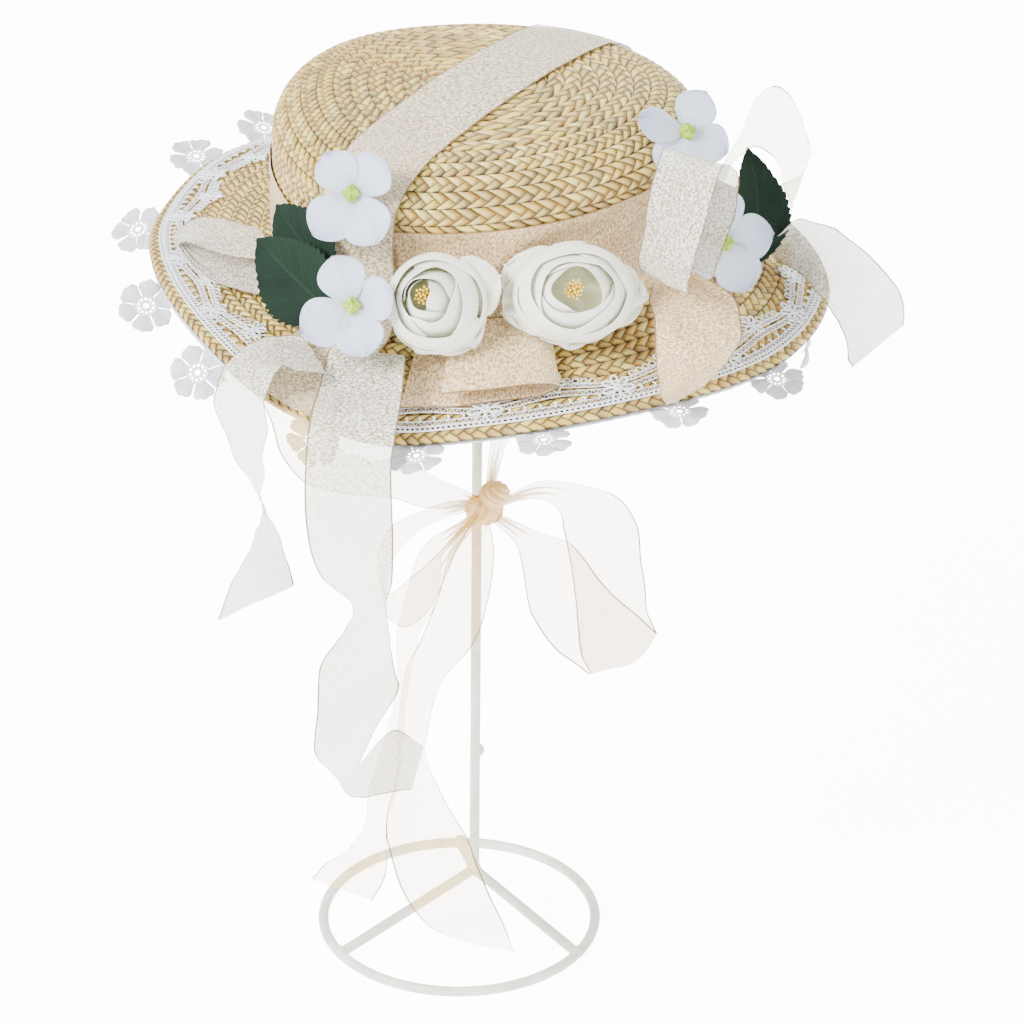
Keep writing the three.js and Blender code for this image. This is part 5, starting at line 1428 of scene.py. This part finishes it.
def open_petal(frame_of, wide, angle, reach, lift, k):
    """A fallen outer petal with a ruffled lip."""
    middle = math.radians(angle)

    def place(u, v):
        side = 2 * v - 1
        t = 1 - (1 - u) ** 1.6
        r = 0.1 + (reach - 0.1) * t * (1 - 0.08 * side * side) + 0.02 * math.cos(side * 8 + k) * t ** 3
        z = lift * t - 0.1 + 0.1 * math.sin(t * math.pi) + 0.03 * math.sin(side * 7 + k) * t ** 2
        swing = 0.32 * math.sin(min(1.0, t * 1.5) * math.pi / 2) * (1 - t ** 5) ** 0.5 * side
        x = (r * math.cos(middle) - swing * math.sin(middle)) * wide
        return set_in(frame_of, x * ROSE, (r * math.sin(middle) + swing * math.cos(middle)) * ROSE,
                      z * ROSE)

    return place


for name, at, look, wide, seat, lean, mouth, fallen in ROSES:
    frame_of = faced(at, look)
    flower = bmesh.new()
    for k in range(ROSE_PETALS):
        grid = bent_grid(26, 30, closed_petal(frame_of, wide, lean, mouth, k, at[0] * 3), (26.0, 26.0))
        add_grid(flower, thickened(grid, ROSE_WALL))
    for k, (angle, reach, lift) in enumerate(fallen):
        grid = bent_grid(22, 20, open_petal(frame_of, wide, angle, reach, lift, k), (26.0, 26.0))
        add_grid(flower, thickened(grid, ROSE_WALL))
    add_grid(flower, bud(risen(frame_of, 1.5), ROSE * 0.6, 4.5, 3.0))
    add_grid(flower, stalk(frame_of, seat, STEM_THICK))
    piece_of(name + "_petals", flower, rose_finish, name)
    heart_frame = (set_in(frame_of, lean[0] * ROSE * 0.75, lean[1] * ROSE * 0.75, ROSE * 0.27),
                   ) + frame_of[1:]
    pins = []
    for k in range(STAMENS):
        a, lean = k * 2.4, 0.9 * math.sqrt(k / STAMENS)
        foot = set_in(heart_frame, 0.6 * math.cos(a), 0.6 * math.sin(a), 0)
        tip = set_in(heart_frame, 5.2 * lean * math.cos(a), 5.2 * lean * math.sin(a), 6 - 1.5 * lean)
        pins.append(([foot - RING_TO_ROW, tip - RING_TO_ROW], False))
    stamens = threads(pins, STAMEN_THREAD)
    for k in range(STAMENS):
        head = bmesh.new()
        bmesh.ops.create_icosphere(head, subdivisions=1, radius=0.00075)
        bmesh.ops.translate(head, verts=head.verts, vec=pins[k][0][1] / 1000)
        add_grid(stamens, head)
    piece_of(name + "_stamens", stamens, stamen_gold, name + "_heart")

# %% [markdown]
# The leaves are stamped from stiff cloth with a toothed edge, folded a little along the rib and
# curled at the tip. The teeth are cut by the outline itself.

# %% Leaves
LEAF_WALL = 0.4
LEAF = 58.0
LEAF_WIDE = [0.08, 0.46, 0.72, 0.86, 0.92, 0.9, 0.82, 0.68, 0.5, 0.3, 0.03]
LEAVES = [
    ("leaf_left_upper", (-53.7, -98, 409.2), (-32, 44, 19), (-0.6, -0.6, 0.5), 1.0, 0.66, 0.0),
    ("leaf_left_lower", (-54, -105.2, 396.7), (-37, 29, 23), (-0.5, -0.7, 0.5), 0.95, 0.8, 0.0),
    ("leaf_right", (134, -27, 379), (0.08, 0.35, 0.93), (0.5, -0.85, 0.2), 0.98, 0.66, 5.0),
]


def leaf_place(at, along, up, long, broad, bulge):
    y = Vector(along).normalized()
    x = y.cross(Vector(up)).normalized()
    z = x.cross(y)

    def place(u, v):
        side = 2 * v - 1
        half = width_at(LEAF_WIDE, u) * LEAF * long * broad / 2
        tooth = 1 - 0.1 * abs(side) ** 5 * (1 - (u * 17) % 1)
        rise = abs(side) * half * 0.22 - 0.12 * LEAF * long * u * u + CLOTH / 2
        rise += 0.7 * math.sin((u - 0.35 * abs(side)) * 24) * abs(side) * (1 - u)
        return (Vector(at) + x * (side * half * tooth + bulge * math.sin(math.pi * u))
                + y * u * LEAF * long + z * rise)

    return place


for name, at, along, up, long, broad, bulge in LEAVES:
    grid = bent_grid(96, 24, leaf_place(at, along, up, long, broad, bulge), (LEAF * long, RIBBON))
    piece_of(name + "_cloth", thickened(grid, LEAF_WALL), leaf_finish, name)

# %% [markdown]
# ## Lace and daisies
# Chemical lace is stitched thread with nothing behind it, so it is made of thread here too: one
# repeat is drawn flat as loops and rungs, turned into round cord, and then laid sixteen times
# round the brim. Every flower of it is seven loops about a ring.

# %% Thread finish
thread_finish, tree, shader = new_material("lace_thread", 0.65, Sheen_Weight=0.3)
own = put(tree, "ShaderNodeTexCoord").outputs["Object"]
twist = stripes(tree, own, 420.0, 3.0, 1.0, "DIAGONAL")
shade = use_group(tree, patches, Size=14.0, Sharpness=0.3)
base = wash(tree, "fbfcff", "dfe5f2", shade["Mask"], 0.5)
colour_with(tree, shader, wash(tree, base, "bcc6dc", twist, 0.35))
emboss(tree, shader, twist, 0.4, 0.0003)

stitched_cloth, tree, shader = new_material("stitched_petal", 0.7)
flat = flat_map(tree)
stitches = calc(tree, "MULTIPLY", stripes(tree, flat, 0.75, 1.6), 0.6)
netting = put(tree, "ShaderNodeTexVoronoi", {"Vector": flat, "Scale": 0.9}).outputs["Distance"]
worked = calc(tree, "MAXIMUM", stitches, calc(tree, "MULTIPLY", netting, 0.8))
colour_with(tree, shader, blend_colour(tree, worked, "ffffff", "9eacc4"))
emboss(tree, shader, worked, 0.8, 0.0006)

# %% [markdown]
# One repeat is worked flat: a band of rings and ladders at the edge, an outer and an inner
# flower, and a scalloped inner edge.

# %% One repeat of lace, flat
REPEATS = 16
LACE_EDGE = 5.0
FINE_THREAD = 0.34  # radius of the thin threads
BOLD_THREAD = 0.5
REPEAT = 57.0  # length of one repeat along the brim


def ring(x, y, radius, z=0.0, count=10):
    """A small ring of thread as a closed path."""
    step = TURN_ROUND / count
    return ([(x + radius * math.cos(k * step), y + radius * math.sin(k * step), z)
             for k in range(count)], True)


def loop_petal(x, y, angle, start, length, wide, z):
    """One long loop of thread that points away from a flower's middle."""
    c, s = math.cos(angle), math.sin(angle)
    points = []
    for k in range(12):
        a = k * TURN_ROUND / 12
        r = start + length / 2 * (1 - math.cos(a))
        w = wide / 2 * math.sin(a) * (0.6 + 0.4 * (r - start) / length)
        points.append((x + r * c - w * s, y + r * s + w * c, z))
    return points, True


def lace_flower(x, y, size, turn):
    """A flower of seven loops of thread round a small ring."""
    made = [ring(x, y, size * 0.17, 0.5)]
    for k in range(7):
        a = turn + k * TURN_ROUND / 7
        made.append(loop_petal(x, y, a, size * 0.16, size * 0.84, size * 0.5, 0.35))
    return made


def ladder(line, gap, rungs):
    """Two lines a gap apart with slanting rungs between them; line(u) gives the lower one."""
    low, high = [], []
    for k in range(2 * rungs + 1):
        x, y = line(k / (2 * rungs))
        ahead, behind = line(min(1, k / (2 * rungs) + 0.01)), line(max(0, k / (2 * rungs) - 0.01))
        d = Vector((ahead[0] - behind[0], ahead[1] - behind[1])).normalized()
        low.append((x, y, 0))
        high.append((x - d.y * gap, y + d.x * gap, 0))
    made = [(low, False), (high, False)]
    made.append(([(low if k % 2 else high)[k] for k in range(2 * rungs + 1)], False))
    return made


def scallop(base, top):
    """The lace's inner edge over one repeat: low beside the outer flower, high in the middle."""
    return lambda u: (u * REPEAT, base + (top - base) * math.sin(math.pi * u) ** 2.2)


fine, bold = [], []
for k in range(25):
    fine.append(ring((k + 0.5) * REPEAT / 25, 1.1, 1.0))
fine += ladder(lambda u: (u * REPEAT, 2.4), 2.3, 22)
fine += ladder(scallop(6.6, 9.6), 2.4, 20)
fine += ladder(scallop(10.6, 14.2), 1.9, 20)
for k in range(15):
    u = (k + 0.5) / 15
    if abs(u - 0.5) > 0.1 and min(u, 1 - u) > 0.1:
        x, y = scallop(13.3, 17.6)(u)
        fine.append(ring(x, y + 0.6, 1.5))
for k in range(9):
    x, y = scallop(5.6, 6.6)((k + 0.5) / 9)
    bold.append(([(x, 4.6, 0.1), (x + 0.8, 5.8, 0.2), (x, 7.0, 0.1)], False))
bold += lace_flower(0.001, 8.2, 7.2, math.pi / 2)
bold += lace_flower(REPEAT / 2, 17.2, 6.2, math.pi / 2)
bold.append(([(k * REPEAT / 30, 0.15, 0) for k in range(31)], False))

flat_lace = threads(fine, FINE_THREAD, sides=0)
add_grid(flat_lace, threads(bold, BOLD_THREAD))
print("faces in one repeat of lace:", len(flat_lace.faces))

# %% [markdown]
# The flat repeat is laid round the brim once for each scallop, a little above the straw.

# %% Lace round the brim
LACE_START = math.radians(-88.75)  # the angle at which a repeat begins, as in the CAD model
LACE_LIFT = 1.35
repeat_mesh = bpy.data.meshes.new("lace_repeat")
flat_lace.to_mesh(repeat_mesh)
flat_lace.free()
lace = bmesh.new()
for turn in range(REPEATS):
    first = len(lace.verts)
    lace.from_mesh(repeat_mesh)
    lace.verts.ensure_lookup_table()
    for vert in lace.verts[first:]:
        x, y, z = vert.co * 1000
        t = LACE_START + (turn + x / REPEAT) / REPEATS * TURN_ROUND
        wide, _ = brim_at(round(t, 4))
        vert.co = metres(brim_point(t, 1 - (LACE_EDGE + y) / wide, LACE_LIFT + z))
bpy.data.meshes.remove(repeat_mesh)
piece_of("lace_thread_band", lace, thread_finish, "lace")

# %% [markdown]
# The daisies under the edge are cut from a second lace. Each has a pierced ring, small holes round
# it and six scalloped petals of close stitching, and all hang from a narrow stitched strip.

# %% Daisies under the edge
STITCHED = 0.5  # thickness of the stitched petals
STRIP_WALL = 1.2
CORE_THREAD = 0.42
DAISY = 26.0
DAISIES = [  # angle, out, dip, roll
    (-147, 0.49, 34, -16), (-120, 0.47, 66, 0), (-99.5, 0.36, -22, 8), (-80, 0.36, -24, 0),
    (-58.5, 0.36, -24, 6), (-38, 0.36, -22, 10), (-17, 0.47, 66, 0), (5, 0.47, 66, 0),
    (24, 0.3, 0, 0), (42, 0.47, 60, 0), (70, 0.3, 0, 0), (90, 0.3, -5, 0),
    (110.5, 0.5, -30, 0), (128, 0.49, -24, -6), (157.5, 0.49, 4, -34), (-168, 0.49, 10, -36),
]
UNDER = -STRAW - 2 * CLEAR


def daisy_frame(at, out, dip, roll):
    """The frame of a daisy: outward, along the edge, and up, after its dip and roll."""
    p, _, outward, up = brim_frame(math.radians(at), 1, UNDER - 1.1)
    basis = Matrix((outward, up.cross(outward), up)).transposed()
    turn = Matrix.Rotation(math.radians(dip), 3, "Y")
    spin = Matrix.Rotation(math.radians(roll), 3, "X")
    middle = p - outward * 3 + basis @ (turn @ Vector((DAISY * out, 0, 0)))
    axes = basis @ turn @ spin
    return middle, axes.col[0], axes.col[1], axes.col[2]


def daisy_petal(frame_of, number):
    """A scalloped petal of close stitching, rippled like starched lace."""
    a0 = number * TURN_ROUND / 6

    def place(u, v):
        side = 2 * v - 1
        r = DAISY / 2 * (0.36 + (0.66 - 0.16 * abs(side) ** 2.2 + 0.03 * math.cos(side * 9)) * u)
        a = a0 + side * math.pi / 6 * (0.86 + 0.1 * u)
        z = -0.5 + 0.9 * math.sin(side * 3 + number * 2) * u + 0.5 * u * u * math.cos(number * 2.1)
        return set_in(frame_of, r * math.cos(a), r * math.sin(a), z)

    return place


daisies = bmesh.new()
for row in DAISIES:
    frame_of = daisy_frame(*row)
    for number in range(6):
        grid = bent_grid(7, 10, daisy_petal(frame_of, number), (8.0, 12.0))
        add_grid(daisies, thickened(grid, STITCHED))
    loops = [ring(0, 0, DAISY * 0.07, -0.5, 12), ring(0, 0, DAISY * 0.2, -0.5, 20)]
    loops += [ring(DAISY * 0.135 * math.cos(k * TURN_ROUND / 10), DAISY * 0.135 * math.sin(
        k * TURN_ROUND / 10), DAISY * 0.042, -0.5, 8) for k in range(10)]
    centre = threads(loops, CORE_THREAD, sides=0)
    for vert in centre.verts:
        x, y, z = vert.co * 1000
        vert.co = metres(set_in(frame_of, x, y, z))
    add_grid(daisies, centre)


def daisy_strip(u, v):
    """A point of the woven strip that the daisies are sewn to."""
    t = u * TURN_ROUND
    wide, _ = brim_at(round(t, 5))
    return brim_point(t, 1 - (0.2 + 6 * v) / wide, UNDER - 0.9 + 0.2 * math.sin(u * 900))


strip = bent_grid(360, 6, daisy_strip, (900.0, 6.0))
close_seam(strip)
add_grid(daisies, thickened(strip, STRIP_WALL))
piece_of("daisy_lace", daisies, stitched_cloth, "daisy_trim")

# %% [markdown]
# ## Wire stand
# The stand is bent from one size of wire and painted white. Round wire with a bead of weld at each
# joint is enough; the paint is a little thin and grey where the wire is handled.

# %% Stand
WIRE = 5.0
BASE_RADIUS = 67.0
RING_HIGH = WIRE / 2 * math.cos(math.pi / 6)
HUB = Vector((7.5, 0, RING_HIGH + 28))
CRADLE_RADIUS = 30.0
cradle_reach = CRADLE_RADIUS + WIRE / 2
TOP = Vector((11.0, 0, BRIM_HEIGHT + CROWN_HEIGHT - DOME * cradle_reach / FLAT - STRAW - CLEAR - RING_HIGH))

paint, tree, shader = new_material("white_wire_paint", 0.38, Coat_Weight=0.15, Coat_Roughness=0.3)
patch = use_group(tree, patches, Size=30.0, Sharpness=0.55)
smear = use_group(tree, patches, Size=5.0, Sharpness=0.7)
clean = blend_colour(tree, patch["Mask"], "e4e7df", "cdd2c6")
colour_with(tree, shader, wash(tree, clean, "a9ae9f", smear["Mask"], 0.22),
            remap(tree, smear["Mask"], to_low=0.3, to_high=0.55))
emboss(tree, shader, patch["Grain"], 0.25, 0.0005)


def wire_circle(middle, radius):
    """A ring of wire as a closed path."""
    count = 120
    step = TURN_ROUND / count
    return ([Vector((radius * math.cos(k * step), radius * math.sin(k * step), 0))
             + middle - RING_TO_ROW for k in range(count)], True)


def wire_line(a, b):
    """A straight wire as an open path."""
    return ([a - RING_TO_ROW, (a + b) / 2 - RING_TO_ROW, b - RING_TO_ROW], False)


feet = [Vector((BASE_RADIUS * math.cos(math.radians(d)), BASE_RADIUS * math.sin(math.radians(d)),
                RING_HIGH + 0.4)) for d in (90, 210, 330)]
arms = [Vector((CRADLE_RADIUS, 0, 0)), Vector((0, CRADLE_RADIUS, 0))]
wires = [wire_circle(Vector((0, 0, RING_HIGH + 0.33)), BASE_RADIUS), wire_circle(TOP, CRADLE_RADIUS),
         wire_line(HUB - Vector((0, 0, 1)), TOP)]
wires += [wire_line(foot, HUB) for foot in feet]
wires += [wire_line(TOP - arm, TOP + arm) for arm in arms]
stand = threads(wires, WIRE / 2, sides=5)
print("wire reaches", [round(max(v.co[k] for v in stand.verts) * 1000) for k in range(3)],
      [round(min(v.co[k] for v in stand.verts) * 1000) for k in range(3)])

# %% [markdown]
# A bead of weld sits at every joint, and a small nub on the post.

# %% Weld beads
BEADS = [(foot + Vector((0, 0, 0.9)), 3.2) for foot in feet] + [(HUB, 3.6), (TOP, 3.4)]
BEADS += [(HUB.lerp(TOP, (99 - HUB.z) / (TOP.z - HUB.z)) + Vector((1.2, 0, 0)), 3.25)]
for middle, size in BEADS:
    bead = bmesh.new()
    bmesh.ops.create_icosphere(bead, subdivisions=3, radius=1)
    for vert in bead.verts:
        lump = 1 + 0.12 * noise.noise(vert.co * 2.5 + middle)
        vert.co = metres(middle + vert.co * size * lump)
    add_grid(stand, bead)
piece_of("stand_wire", stand, paint, "stand")

# %% [markdown]
# ## The size against the CAD box
# Cloth may stand a little proud of its solids, and no more. The differences between the box of
# what is shown and the CAD box are printed, axis by axis.

# %% Sizes against the CAD box
shown_low, shown_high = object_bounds()
for axis, a, b, c, d in zip("xyz", cad_low, shown_low, cad_high, shown_high):
    print(axis, "low", round((b - a) * 1000, 1), "high", round((d - c) * 1000, 1), "mm from the CAD box")
